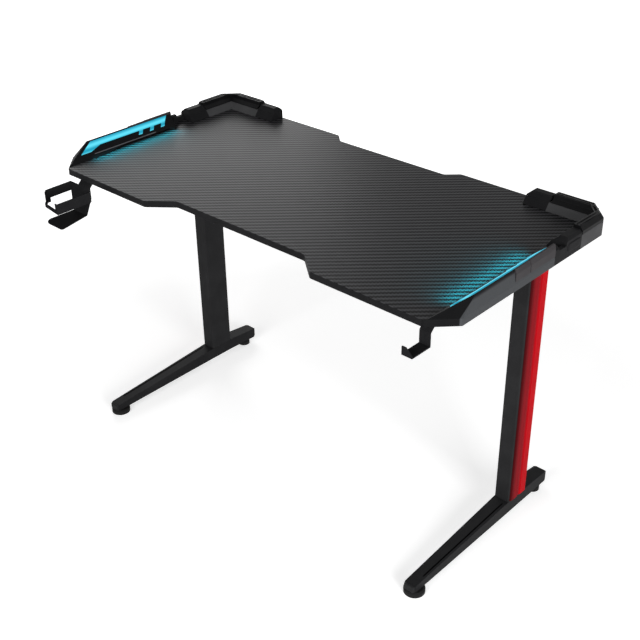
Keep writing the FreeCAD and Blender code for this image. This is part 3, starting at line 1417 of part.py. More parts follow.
def end_block_screw_places(side):
    middle = f"{END} - (wing_width - end_block_inset) / 2"
    return mirrored(side, [(middle, f"{WING_REAR} + end_block_length / 2")])


def guard_screw_places(side):
    return mirrored(side, [
        (f"{END} - guard_width / 2", f"{REAR} - guard_screw_side"),
        (f"{END} - guard_screw_rear", f"{REAR} - guard_width / 2"),
    ])


def side_block_screw_places(side):
    return mirrored(side, [(f"{END} - guard_width / 2", f"{SIDE_BLOCK_FRONT} + block_length / 2")])


def rear_block_screw_places(side):
    return mirrored(side, [(f"{REAR_BLOCK_TIP} + block_length / 2", f"{REAR} - guard_width / 2")])


def trim_screw_places():
    """Screws that go up through the board into wings and guards."""
    rows = (wing_screw_places, end_block_screw_places, guard_screw_places, side_block_screw_places,
            rear_block_screw_places)
    return [place for side in SIDES for row in rows for place in row(side)]


def foot_bolt_places(side):
    return mirrored(side, [(COLUMN_X, f"{COLUMN_Y} + {sense} * foot_bolt_spacing / 2") for sense in (-1, 1)])


def bolt(place, head, shank, way="up"):
    """Round headed bolt from its seat; head and shank are pairs of radius and length."""
    x, y, z = place
    back = {
        "up": (x, y, f"{z} - {head[1]}"),
        "right": (f"{x} - {head[1]}", y, z),
        "left": (f"{x} + {head[1]}", y, z),
    }[way]
    tilt = {"up": None, "right": 90, "left": -90}[way]
    item = doc.addObject("Part::Fuse", "bolt")
    item.Base = cylinder("bolt_head", *head, back, tilt)
    item.Tool = cylinder("bolt_shank", *shank, place, tilt)
    return item


def fasteners():
    """All screws and bolts, one group for each kind."""
    def screws(places, seat, length):
        head = ("board_screw_head", "board_screw_cap")
        shank = ("board_screw_radius", f"board_screw_bite + {length}")
        return [bolt((x, y, seat), head, shank) for x, y in places]

    places = [place for side in SIDES for place in bracket_screw_places(side)]
    group("bracket_screws", screws(places, COLUMN_TOP, "bracket_wall"))
    group("cup_holder_screws", screws(cup_screw_places(), f"{BOARD_BOTTOM} - cup_sheet", "cup_sheet"))
    group("hook_screws", screws(hook_screw_places(), f"{BOARD_BOTTOM} - hook_sheet", "hook_sheet"))
    ear = f"{BOARD_BOTTOM} - ear_thickness"
    group("controller_screws", screws(controller_screw_places(), ear, "ear_thickness"))

    head = ("trim_screw_head", "trim_screw_cap")
    shank = ("trim_screw_radius", f"{BOARD_THICKNESS} + trim_screw_bite")
    group("trim_screws", [bolt((x, y, BOARD_BOTTOM), head, shank) for x, y in trim_screw_places()])

    head = ("foot_bolt_head", "foot_bolt_cap")
    shank = ("foot_bolt_radius", "foot_crest - foot_arch + column_plate")
    places = [place for side in SIDES for place in foot_bolt_places(side)]
    group("foot_bolts", [bolt((x, y, "foot_arch"), head, shank) for x, y in places])

    head = ("rail_bolt_head", "rail_bolt_cap")
    shank = ("rail_bolt_radius", "bracket_wall + rail_plate")
    seat = f"({COLUMN_X} - {BRACKET_INNER} / 2)"
    group("rail_bolts", [
        bolt((f"{SIDES[side]} * {seat}", y, z), head, shank, "left" if side == "right" else "right")
        for side in SIDES for y, z in rail_bolt_places()])


# Build, check and export

def build():
    fill_sheet()
    desktop()
    for side in SIDES:
        wing_housing(side)
        light_diffuser(side)
        lamp_board(side)
        wing_armour(side)
        wing_end_block(side)
        guard_base(side)
        guard_cap(side)
        guard_side_block(side)
        guard_rear_block(side)
        leg_column(side)
        column_plate(side)
        leg_trim(side)
        top_bracket(side)
        foot_bar(side)
        bar_cap(side, "toe_cap", TOE_Y, TOE, -1)
        bar_cap(side, "heel_cap", HEEL_Y, HEEL, 1)
    levelling_feet()
    for end in RAIL_PLACES:
        cross_rail(end)
    rail_plates()
    cup_holder()
    headset_hook()
    controller_box()
    control_board()
    mode_button()
    power_inlet()
    fasteners()
    doc.recompute()


def check():
    """Stop before anything is written if an object failed or a sub-part is not a sound solid."""
    for item in doc.Objects:
        if {"Invalid", "Error"} & set(item.State):
            raise RuntimeError(f"{item.Name} failed: {item.State}")
    for item in SUBPARTS:
        if item.Shape.isNull() or not item.Shape.isValid() or not item.Shape.Solids:
            raise RuntimeError(f"{item.Label} is not a sound solid")


def export():
    os.makedirs("parts", exist_ok=True)
    for item in SUBPARTS:
        item.Shape.exportStep(os.path.join("parts", f"{item.Label}.step"))
        print(item.Label, len(item.Shape.Solids), round(item.Shape.Volume))


build()
check()
export()
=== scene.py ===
import json
import math

import bpy
import numpy as np
from mathutils import Matrix, Vector


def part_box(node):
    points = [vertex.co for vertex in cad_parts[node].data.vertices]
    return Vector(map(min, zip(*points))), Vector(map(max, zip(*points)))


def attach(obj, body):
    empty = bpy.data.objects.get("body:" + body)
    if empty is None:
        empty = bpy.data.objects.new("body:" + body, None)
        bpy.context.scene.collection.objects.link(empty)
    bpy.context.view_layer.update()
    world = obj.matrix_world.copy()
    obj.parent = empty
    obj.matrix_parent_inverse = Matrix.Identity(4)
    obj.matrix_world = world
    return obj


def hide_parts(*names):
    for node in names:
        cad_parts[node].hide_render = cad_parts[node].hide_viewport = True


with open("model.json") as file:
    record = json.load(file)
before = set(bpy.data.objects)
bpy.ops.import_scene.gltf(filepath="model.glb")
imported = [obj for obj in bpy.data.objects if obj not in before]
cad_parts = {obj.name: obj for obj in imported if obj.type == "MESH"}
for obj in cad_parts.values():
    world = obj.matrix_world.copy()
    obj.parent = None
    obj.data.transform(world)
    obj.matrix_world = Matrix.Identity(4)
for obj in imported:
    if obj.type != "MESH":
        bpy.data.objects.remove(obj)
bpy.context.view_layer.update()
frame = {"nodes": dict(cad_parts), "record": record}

MM = 0.001
NODES = frame["nodes"]
SIDES = {"left": -1, "right": 1}
DESK_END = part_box("right_wing_housing")[1].x
BOARD_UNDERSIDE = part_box("desktop_core")[0].z
SLOT_OF = {row["node"]: row["material_slot"] for row in frame["record"]["subparts"]}


# Camera: where it stood, which way it looked, and its lens, worked out from the straight edges of the board.

CAMERA_PLACE = (1575.0 * MM, -1635.3 * MM, 1757.4 * MM)
CAMERA_YAW = math.radians(42.95)
CAMERA_PITCH = math.radians(30.75)
CAMERA_ROLL = math.radians(-0.79)
SENSOR = 36.0
LENS = 60.57


def make_camera():
    """Camera whose axes come from yaw, pitch down and roll."""
    level = math.cos(CAMERA_PITCH)
    forward = Vector((-math.sin(CAMERA_YAW) * level, math.cos(CAMERA_YAW) * level, -math.sin(CAMERA_PITCH)))
    right = Vector((math.cos(CAMERA_YAW), math.sin(CAMERA_YAW), 0))
    up = right.cross(forward)
    turned_right = math.cos(CAMERA_ROLL) * right + math.sin(CAMERA_ROLL) * up
    turned_up = math.cos(CAMERA_ROLL) * up - math.sin(CAMERA_ROLL) * right
    data = bpy.data.cameras.new("photo_camera")
    data.sensor_width = SENSOR
    data.lens = LENS
    camera = bpy.data.objects.new("photo_camera", data)
    bpy.context.scene.collection.objects.link(camera)
    axes = Matrix((turned_right, turned_up, -forward)).transposed().to_4x4()
    camera.matrix_world = Matrix.Translation(CAMERA_PLACE) @ axes
    bpy.context.scene.camera = camera


# Shader nodes

def linear(code):
    """Turn an sRGB hex colour such as #222426 into linear red, green, blue and alpha."""
    parts = [int(code[start:start + 2], 16) / 255 for start in (1, 3, 5)]
    return [part / 12.92 if part <= 0.04045 else ((part + 0.055) / 1.055) ** 2.4 for part in parts] + [1.0]


def feed(tree, node, inputs):
    """Give a node its inputs: each socket takes a value, or a link from another socket."""
    for socket, value in inputs.items():
        if isinstance(value, bpy.types.NodeSocket):
            tree.links.new(value, node.inputs[socket])
        else:
            node.inputs[socket].default_value = value


def add(tree, kind, inputs=None, **settings):
    """Add one node. Settings are its own properties, and inputs go to its sockets."""
    made = tree.nodes.new(f"ShaderNode{kind}")
    for name, value in settings.items():
        setattr(made, name, value)
    feed(tree, made, inputs or {})
    return made


def calc(tree, operation, first, second=0.0):
    """Result of an operation on one or two numbers."""
    return add(tree, "Math", {0: first, 1: second}, operation=operation).outputs[0]


def ranged(tree, value, span, result=(0.0, 1.0)):
    """Number moved from one span to another, and held within it."""
    ends = {1: span[0], 2: span[1], 3: result[0], 4: result[1]}
    return add(tree, "MapRange", {0: value} | ends).outputs[0]


def between(tree, share, low, high):
    """Number between two others, by a share."""
    return add(tree, "Mix", {"Factor": share, 2: low, 3: high}).outputs[0]


def blended(tree, share, low, high):
    """Colour between two others, each a hex code or a socket, by a share."""
    first, second = (linear(colour) if isinstance(colour, str) else colour for colour in (low, high))
    return add(tree, "Mix", {"Factor": share, 6: first, 7: second}, data_type="RGBA").outputs[2]


def noise(tree, place, size, detail=2.0):
    """Noise between 0 and 1, with features of about the given size in metres."""
    return add(tree, "TexNoise", {"Vector": place, "Scale": 1 / size, "Detail": detail}).outputs["Fac"]


def axes_of(tree, place):
    """The three numbers of a place."""
    return add(tree, "SeparateXYZ", {0: place}).outputs


def bump(tree, height, strength, relief):
    """Normal of a surface raised by a height from 0 to 1, times a relief in metres."""
    return add(tree, "Bump", {"Height": height, "Strength": strength, "Distance": relief}).outputs[0]


def start_material(name):
    """Empty material with a surface shader, and the place of each point on the desk in metres."""
    material = bpy.data.materials.new(name)
    material.use_nodes = True
    tree = material.node_tree
    tree.nodes.clear()
    shader = add(tree, "BsdfPrincipled")
    add(tree, "OutputMaterial", {"Surface": shader.outputs[0]})
    place = add(tree, "TexCoord").outputs["Object"]
    return material, tree, shader, place


def reopen(material):
    """Parts of a finished material: tree, surface shader, place of each point, and its colour so far."""
    tree = material.node_tree
    shader = tree.nodes["Principled BSDF"]
    place = add(tree, "TexCoord").outputs["Object"]
    return tree, shader, place, shader.inputs["Base Color"].links[0].from_socket


# Materials

NOISE_SPAN = (0.3, 0.7)
PRODUCT_SPAN = (0.12, 0.42)
PATCH = 60 * MM
POWDER_GRAIN = 1.6 * MM
POWDER_RELIEF = 0.06 * MM
SPARK_GRAIN = 1.2 * MM
SPARK_RELIEF = 0.04 * MM


def grained(name, dark, light, grain, roughness, spread, relief, gloss):
    """Coated or moulded surface: a grain of the given size in metres tints it, roughens it and raises it.

    Broad patches vary its tint. A noise keeps to the middle of 0 to 1, and the product of two lies lower.
    """
    material, tree, shader, place = start_material(name)
    fine = noise(tree, place, grain, detail=3.0)
    tint = ranged(tree, calc(tree, "MULTIPLY", fine, noise(tree, place, PATCH)), PRODUCT_SPAN)
    feed(tree, shader, {
        "Base Color": blended(tree, tint, dark, light),
        "Roughness": ranged(tree, fine, NOISE_SPAN, (roughness - spread, roughness + spread)),
        "Normal": bump(tree, fine, strength=0.5, relief=relief),
        "Specular IOR Level": gloss,
    })
    return material


def powder_coated_steel():
    """Steel sheet and tube under a fine black powder coat: a dry, slightly pebbled surface with a soft sheen.

    The pebbles of a real coat are about 0.5 mm; they are drawn at 1.6 mm so that they show.
    """
    return grained("powder_coated_steel", "#1f1f20", "#29292a", grain=POWDER_GRAIN,
                   roughness=0.55, spread=0.1, relief=POWDER_RELIEF, gloss=0.03)


def matt_powder_coat():
    """Duller powder coat on the bent sheet accessories: nearly no sheen, so their flats stay dark."""
    return grained("matt_powder_coated_sheet", "#1d1d1e", "#252526", grain=POWDER_GRAIN,
                   roughness=0.8, spread=0.08, relief=POWDER_RELIEF, gloss=0.0)


def shaded_foot_steel():
    """The same powder coated steel on the foot bars, made darker: painted shade, for the desktop's shadow
    over them.
    """
    return grained("foot_steel_painted_shade", "#1a1a1b", "#232324", grain=POWDER_GRAIN,
                   roughness=0.5, spread=0.1, relief=POWDER_RELIEF, gloss=0.03)


def groove_shade_strip():
    """Strip along the top of each foot in near black: painted shade, standing in for the shadow inside a
    groove there.
    """
    return grained("painted_groove_shade", "#020202", "#070707", grain=2 * MM,
                   roughness=0.6, spread=0.08, relief=0.03 * MM, gloss=0.0)


def ridge_highlight_abs():
    """Grey rib below each light: its pale grey is a painted highlight, for light on the ledge below the lens.
    """
    return grained("painted_highlight_grey", "#4e4e50", "#5e5e60", grain=SPARK_GRAIN,
                   roughness=0.5, spread=0.08, relief=0.03 * MM, gloss=0.04)


def grained_black_abs():
    """Injection moulded ABS with a fine spark grain, drawn at 1.2 mm: dull black, greyer where it is lit."""
    return grained("grained_black_abs", "#161617", "#202021", grain=SPARK_GRAIN,
                   roughness=0.55, spread=0.1, relief=SPARK_RELIEF, gloss=0.03)


def guard_facet_painted_light():
    """The same ABS made grey on the facets of the guards: painted light, for facets lit from the front below
    the black tops.
    """
    return grained("guard_facet_painted_light", "#3c3c3d", "#474748", grain=SPARK_GRAIN,
                   roughness=0.55, spread=0.1, relief=SPARK_RELIEF, gloss=0.03)


def smooth_black_abs():
    """ABS from a polished mould, for the caps of the guards: deep black with a clearer shine."""
    return grained("smooth_black_abs", "#0b0b0c", "#131314", grain=4 * MM,
                   roughness=0.36, spread=0.05, relief=0.02 * MM, gloss=0.05)


def armour_abs():
    """Satin ABS of the armour over the wings: warm dark grey."""
    return grained("satin_grey_abs", "#302e30", "#393738", grain=2 * MM,
                   roughness=0.45, spread=0.06, relief=0.03 * MM, gloss=0.04)


WALL_DEPTH = 4 * MM
WALL_BLUR = 0.5 * MM


def wing_abs():
    """ABS housing of a wing in two tones: a satin black bezel round the light, a grained grey outer wall.

    The wall is what lies within 4 mm of the end of the desk.
    """
    material = grained("two_tone_wing_abs", "#0d0d0e", "#151516", grain=SPARK_GRAIN,
                       roughness=0.5, spread=0.08, relief=SPARK_RELIEF, gloss=0.03)
    tree, shader, place, black = reopen(material)
    along = calc(tree, "ABSOLUTE", axes_of(tree, place)[0])
    start = DESK_END - WALL_DEPTH
    wall = ranged(tree, along, (start - WALL_BLUR, start + WALL_BLUR))
    grey = blended(tree, noise(tree, place, SPARK_GRAIN, detail=3.0), "#343537", "#434547")
    feed(tree, shader, {"Base Color": blended(tree, wall, black, grey)})
    return material


def cap_plastic():
    """Polypropylene end caps of the foot bars: dull dark grey."""
    return grained("polypropylene_cap", "#1c1c1d", "#272728", grain=1.5 * MM,
                   roughness=0.55, spread=0.08, relief=0.05 * MM, gloss=0.05)


def pad_plastic():
    """Nylon levelling pads: black, satin."""
    return grained("nylon_pad", "#171717", "#202020", grain=1.5 * MM,
                   roughness=0.5, spread=0.08, relief=0.05 * MM, gloss=0.05)


def edge_band():
    """Glued ABS edge band: black, satin, with a fine even grain."""
    return grained("edge_band_abs", "#141415", "#1d1d1e", grain=2 * MM,
                   roughness=0.48, spread=0.08, relief=0.03 * MM, gloss=0.03)


SHADE_EDGE_SPAN = (0.0, 0.24)
SHADE_CHANGE = (0.46, 0.62)


def red_lacquer():
    """Red lacquer over pressed steel, with a slight orange peel of about 3 mm.

    Along the panel's depth, the front is darkened to a deep red, deepest at its edge: painted shade of a
    front facet turned from the light. The rear is the lacquer's bright red.
    """
    material = grained("red_lacquer", "#a00a13", "#b00c17", grain=3 * MM,
                       roughness=0.34, spread=0.05, relief=0.03 * MM, gloss=0.01)
    tree, shader, place, bright = reopen(material)
    low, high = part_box("right_leg_trim")
    depth = ranged(tree, axes_of(tree, place)[1], (low.y, high.y))
    # Painted shade: the front of the panel darkened, most at its edge.
    painted_shade = blended(tree, ranged(tree, depth, SHADE_EDGE_SPAN), "#2a080a", "#781219")
    feed(tree, shader, {"Base Color": blended(tree, ranged(tree, depth, SHADE_CHANGE), painted_shade, bright)})
    return material


SPANGLE = 4 * MM


def zinc_steel():
    """Bright zinc plated steel of screws, nuts and studs: pale grey metal with cloudy spangle."""
    material, tree, shader, place = start_material("zinc_plated_steel")
    cloud = noise(tree, place, SPANGLE, detail=4.0)
    feed(tree, shader, {
        "Base Color": blended(tree, cloud, "#9a9b9c", "#c9cac8"),
        "Roughness": ranged(tree, cloud, (0.0, 1.0), (0.25, 0.45)),
        "Metallic": 1.0,
    })
    return material


FLAKE = 5 * MM
PAPER_FIBRE = 2 * MM
BACKING_SHEET = 0.3 * MM


def particle_board():
    """Raw particle board: flakes of about 5 mm in straw and brown tones, dry and rough.

    Its underside carries a black backing sheet, as wide boards do to stay flat, with a faint paper grain.
    """
    material, tree, shader, place = start_material("raw_particle_board")
    flakes = add(tree, "TexVoronoi", {"Vector": place, "Scale": 1 / FLAKE})
    raw = blended(tree, flakes.outputs["Color"], "#8a6a45", "#c7a878")
    sheet = blended(tree, noise(tree, place, PAPER_FIBRE, detail=3.0), "#161617", "#222223")
    under = calc(tree, "LESS_THAN", axes_of(tree, place)[2], BOARD_UNDERSIDE + BACKING_SHEET)
    feed(tree, shader, {
        "Base Color": blended(tree, under, raw, sheet),
        "Normal": bump(tree, flakes.outputs["Distance"], strength=0.5, relief=0.3 * MM),
        "Roughness": 0.85,
    })
    return material


TRACE_PITCH = 2 * math.pi * MM
WAVE_RADIANS = 20


def circuit_board(name, mask, trace):
    """Printed circuit: solder mask with slightly raised traces about 2 mm wide, semi gloss.

    A wave texture runs through 20 radians for each unit of its scale.
    """
    material, tree, shader, place = start_material(name)
    scale = 2 * math.pi / (WAVE_RADIANS * TRACE_PITCH)
    lines = add(tree, "TexWave", {"Vector": place, "Scale": scale, "Distortion": 2.0})
    edge = ranged(tree, lines.outputs["Fac"], (0.75, 0.8))
    feed(tree, shader, {
        "Base Color": blended(tree, edge, mask, trace),
        "Normal": bump(tree, edge, strength=0.4, relief=0.05 * MM),
        "Roughness": 0.35,
    })
    return material


TOW = 5.21 * MM
TWILL_TURN = math.radians(2.2)
TOW_EDGE_SHADE = 0.7
RIB_CLIP = 0.8
RIB_SHARE = 0.55


def twill_laminate():
    """Laminate printed and embossed as a 2/2 carbon twill, with tows 5.2 mm wide.

    Cells of one tow by one tow; where column minus row, modulo four, is under two, the lengthwise tow lies on
    top, and elsewhere the crosswise one. So ribs run at 45 degrees, turned a little. Each tow is rounded.
    The print follows the ribs more than the cells: a sine across them, with the cells' steps mixed in.
    """
    material, tree, shader, place = start_material("carbon_look_laminate")
    scale = (1 / TOW, 1 / TOW, 1 / TOW)
    turned = add(tree, "Mapping", {"Vector": place, "Scale": scale, "Rotation": (0, 0, TWILL_TURN)})
    x, y = axes_of(tree, turned.outputs[0])[:2]
    step = calc(tree, "SUBTRACT", calc(tree, "FLOOR", x), calc(tree, "FLOOR", y))
    lengthwise = calc(tree, "LESS_THAN", calc(tree, "FLOORED_MODULO", step, 4.0), 1.5)
    crowns = []
    for across in (x, y):
        arch = calc(tree, "MULTIPLY", calc(tree, "FRACT", across), math.pi)
        crowns.append(calc(tree, "SINE", arch))
    crown = between(tree, lengthwise, *crowns)
    # Each tow's colour is lighter at its crown than at its edges: a painted highlight of its rounding, over
    # the printed twill.
    cells = calc(tree, "MULTIPLY", lengthwise, ranged(tree, crown, (0.0, 1.0), (TOW_EDGE_SHADE, 1.0)))
    turns = calc(tree, "MULTIPLY", calc(tree, "SUBTRACT", x, y), math.pi / 2)
    rib = ranged(tree, calc(tree, "SINE", turns), (-RIB_CLIP, RIB_CLIP))
    share = between(tree, RIB_SHARE, cells, rib)
    feed(tree, shader, {
        "Base Color": blended(tree, share, "#070708", "#454547"),
        "Roughness": ranged(tree, lengthwise, (0.0, 1.0), (0.4, 0.32)),
        "Normal": bump(tree, crown, strength=0.25, relief=0.08 * MM),
        "Specular IOR Level": 0.03,
    })
    return material


LAMP_LINE = 759 * MM
LENS_WIDTH = 13 * MM


def lit_diffuser():
    """Milky acrylic lens lit from behind: pale cyan over the row of lamps, deeper towards its edges.

    The lens leans, so its height tells the way across it: a cosine of the height peaks on the lamps' line.
    """
    material, tree, shader, place = start_material("lit_acrylic_diffuser")
    above = calc(tree, "SUBTRACT", axes_of(tree, place)[2], LAMP_LINE)
    turns = calc(tree, "MULTIPLY", above, 2 * math.pi / LENS_WIDTH)
    share = ranged(tree, calc(tree, "COSINE", turns), (-1.0, 1.0))
    feed(tree, shader, {
        "Base Color": blended(tree, share, "#06323b", "#0b4552"),
        "Emission Color": blended(tree, share, "#149ab8", "#62e0f6"),
        "Emission Strength": 1.0,
        "Roughness": 0.4,
        "Specular IOR Level": 0.1,
    })
    return material


FINISHES = {
    "board_core": particle_board,
    "carbon_look_laminate": twill_laminate,
    "edge_band": edge_band,
    "black_moulding": grained_black_abs,
    "dark_armour": smooth_black_abs,
    "lit_diffuser": lit_diffuser,
    "lamp_circuit": lambda: circuit_board("lamp_circuit", "#d9dcd8", "#c2c6c1"),
    "black_steel": powder_coated_steel,
    "red_panel": red_lacquer,
    "foot_cap": cap_plastic,
    "pad_plastic": pad_plastic,
    "zinc_steel": zinc_steel,
    "control_circuit": lambda: circuit_board("control_circuit", "#14532d", "#2c7a48"),
    "inlet_contact": smooth_black_abs,
}
PIECE_FINISHES = {
    "guard_base": guard_facet_painted_light,
    "wing_armour": armour_abs,
    "wing_housing": wing_abs,
    "foot_bar": shaded_foot_steel,
    "foot_strip": groove_shade_strip,
    "wing_ridge": ridge_highlight_abs,
    "cup_holder": matt_powder_coat,
    "headset_hook": matt_powder_coat,
}
FINISH_OF = {name: make() for name, make in (FINISHES | PIECE_FINISHES).items()}


def kind_of(name):
    """Name of a piece without its side."""
    return name.removeprefix("left_").removeprefix("right_")


def finish_nodes():
    """Give each piece of the desk its own finish, or else that of its slot."""
    for name, node in NODES.items():
        kind = kind_of(name)
        node.data.materials.clear()
        node.data.materials.append(FINISH_OF[kind if kind in PIECE_FINISHES else SLOT_OF[name]])


# Edges: pressed, bent and moulded pieces have none that is sharp. Radii are in millimetres.

EDGE_RADII = {
    "foot_bar": 4.0, "toe_cap": 4.0, "heel_cap": 4.0, "leg_column": 3.0, "leg_trim": 0.6,
    "guard_base": 0.6, "guard_cap": 1.2, "guard_side_block": 1.5, "guard_rear_block": 1.5,
    "wing_housing": 1.2, "wing_armour": 1.2, "wing_end_block": 2.0, "light_diffuser": 0.6,
    "cup_holder": 0.8, "headset_hook": 0.8, "controller_box": 1.5, "edge_band": 0.5,
    "front_rail": 2.0, "rear_rail": 2.0, "top_bracket": 0.8,
}
JOIN_WITHIN = 0.01 * MM
FLAT_WITHIN = math.radians(1)
EDGE_ANGLE = math.radians(25)
EDGE_STEPS = 3


def soften_edges():
    """Round the edges of each piece.

    Its loose triangles are joined, its flat faces cleared of lines, and the edges that are left are bevelled.
    """
    for name, node in NODES.items():
        kind = kind_of(name)
        if kind not in EDGE_RADII:
            continue
        join = node.modifiers.new("join", "WELD")
        join.merge_threshold = JOIN_WITHIN
        clear = node.modifiers.new("clear", "DECIMATE")
        clear.decimate_type = "DISSOLVE"
        clear.angle_limit = FLAT_WITHIN
        bevel = node.modifiers.new("round", "BEVEL")
        bevel.width = EDGE_RADII[kind] * MM
        bevel.segments = EDGE_STEPS
        bevel.limit_method = "ANGLE"
        bevel.angle_limit = EDGE_ANGLE
        bevel.harden_normals = True


# New pieces

def to_piece(name, points, faces, body, slot, finish=None):
    """Mesh piece of points and faces that rides on a body, with a finish or else that of its slot."""
    mesh = bpy.data.meshes.new(name)
    mesh.from_pydata(points.tolist(), [], faces.tolist())
    mesh.polygons.foreach_set("use_smooth", np.ones(len(faces), dtype=bool))
    mesh.materials.append(FINISH_OF[finish or slot])
    piece = bpy.data.objects.new(name, mesh)
    bpy.context.scene.collection.objects.link(piece)
    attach(piece, body)
    return piece


def full_turn(count):
    """Angles of a full turn in equal steps. The last one is left out, because it is the first again."""
    return np.linspace(0, 2 * np.pi, count, endpoint=False)


def ring_faces(rows, columns, sense=1):
    """Corner numbers of the quads between rows of points, each a closed ring. A sense of -1 flips them."""
    row, column = np.meshgrid(np.arange(rows - 1), np.arange(columns), indexing="ij")
    following = (column + 1) % columns
    corners = (row * columns + column, row * columns + following,
               (row + 1) * columns + following, (row + 1) * columns + column)
    return np.stack(corners, axis=-1).reshape(-1, 4)[:, ::sense]


BAR_TURNS = 24


def bar_along(name, path, across, upward, size, side, slot, finish=None):
    """Bar with an elliptic section along a path on the right side of the desk, mirrored for the left.

    Over row n of the path and turn a: point n, plus its size times (across times cos a + upward times sin a).
    """
    a = full_turn(BAR_TURNS)[None, :, None]
    section = across[:, None] * np.cos(a) + upward[:, None] * np.sin(a)
    points = (path[:, None] + size[:, None, None] * section).reshape(-1, 3)
    points[:, 0] *= SIDES[side]
    to_piece(name, points, ring_faces(len(path), BAR_TURNS, SIDES[side]), "desk", slot, finish)


RUN_ROWS = 40
RUN_POWER = 40


def rounded_run():
    """Shares from -1 to 1 along a straight bar, closer at both ends, and its size at each share.

    Over row n: the share is a sine of even steps, and the size the square root of 1 - share to a high power.
    """
    share = np.sin(np.linspace(-np.pi / 2, np.pi / 2, RUN_ROWS))
    return share, np.sqrt(1 - share ** RUN_POWER)


RIDGE_PLACE = (561.7 * MM, 742.5 * MM)
RIDGE_SLOPE = math.radians(37.8)
RIDGE_SPAN = (-60 * MM, 100 * MM)
RIDGE_HALF = 1.4 * MM
RIDGE_RISE = 1.0 * MM


def wing_ridge(side):
    """Slim rib on the inner slope of a wing, below its light.

    Over share t of its length and turn a: a straight run along the slope, its section a half-sunk ellipse.
    """
    share, size = rounded_run()
    x, z = RIDGE_PLACE
    middle, half = RIDGE_SPAN
    path = np.stack([np.full_like(share, x), middle + half * share, np.full_like(share, z)], axis=1)
    down = -np.array([math.cos(RIDGE_SLOPE), 0, math.sin(RIDGE_SLOPE)])
    out = np.array([-math.sin(RIDGE_SLOPE), 0, math.cos(RIDGE_SLOPE)])
    across = np.tile(RIDGE_HALF * down, (len(share), 1))
    upward = np.tile(RIDGE_RISE * out, (len(share), 1))
    bar_along(f"{side}_wing_ridge", path, across, upward, size, side, "black_moulding", "wing_ridge")


TOE_TOP = 31.5 * MM
TOE_HALF = 15 * MM
STRIP_PLACE = 0.55
STRIP_SPAN = (0.1, 0.97)
STRIP_HALF = 1.7 * MM
STRIP_RISE = 0.6 * MM


def foot_strip(side):
    """Strip along the top of a foot, between its middle and its outer edge; its black is painted shade of a
    groove.

    Over share t from the toe to the column and turn a: height and half width of the foot grow evenly with t,
    the strip keeps its share of the half width, and its section is a half-sunk ellipse.
    """
    low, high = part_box("right_foot_bar")
    column_low, column_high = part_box("right_leg_column")
    share, size = rounded_run()
    t = STRIP_SPAN[0] + (STRIP_SPAN[1] - STRIP_SPAN[0]) * (share + 1) / 2
    half = TOE_HALF + ((column_high.x - column_low.x) / 2 - TOE_HALF) * t
    x = (column_low.x + column_high.x) / 2 + STRIP_PLACE * half
    path = np.stack([x, low.y + (column_low.y - low.y) * t, TOE_TOP + (high.z - TOE_TOP) * t], axis=1)
    across = np.tile([-STRIP_HALF, 0, 0], (len(t), 1))
    upward = np.tile([0, 0, STRIP_RISE], (len(t), 1))
    bar_along(f"{side}_foot_strip", path, across, upward, size, side, "black_moulding", "foot_strip")


PLATE_PROUD = 2.4 * MM
PLATE_SINK = 0.2 * MM
PLATE_MARGIN = 5 * MM
PLATE_CORNER = 5.0
PLATE_CROWN = 10.0
PLATE_ROWS = 40
PLATE_TURNS = 96


def guard_plate(side):
    """Rounded plate on the outer face of a guard's side block, about two thirds as high as the block.

    Over share r from 1 to 0 and turn a: the outline is r times a superellipse, cos a and sin a to the power
    2 / corner. The height above the face is the plate's, times the square root of 1 - r to the power of the
    crown, less a little that is sunk.
    """
    low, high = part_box(f"{side}_guard_side_block")
    sense = SIDES[side]
    face = high.x if sense > 0 else low.x
    r, a = np.meshgrid(np.linspace(1, 0, PLATE_ROWS) ** 0.5, full_turn(PLATE_TURNS), indexing="ij")
    across = np.sign(np.cos(a)) * np.abs(np.cos(a)) ** (2 / PLATE_CORNER)
    upward = np.sign(np.sin(a)) * np.abs(np.sin(a)) ** (2 / PLATE_CORNER)
    half_length = (high.y - low.y) / 2 - PLATE_MARGIN
    half_height = (high.z - low.z) / 3 - PLATE_MARGIN
    x = face + sense * (PLATE_PROUD * np.sqrt(1 - r ** PLATE_CROWN) - PLATE_SINK)
    y = (low.y + high.y) / 2 + r * across * half_length
    z = (low.z + high.z) / 2 + r * upward * half_height
    points = np.stack([x, y, z], axis=-1).reshape(-1, 3)
    to_piece(f"{side}_guard_plate", points, ring_faces(*r.shape, sense), "desk", "black_moulding")


CAP_SLOPE = 6 * MM
CAP_CUT = 37.5 * MM
CAP_TURN = math.radians(45)
RIB_SETBACKS = {"outer": 3.0 * MM, "inner": 11.5 * MM}
RIB_HALF = 1.5 * MM
RIB_RISE = 1.4 * MM
RIB_END = 4 * MM


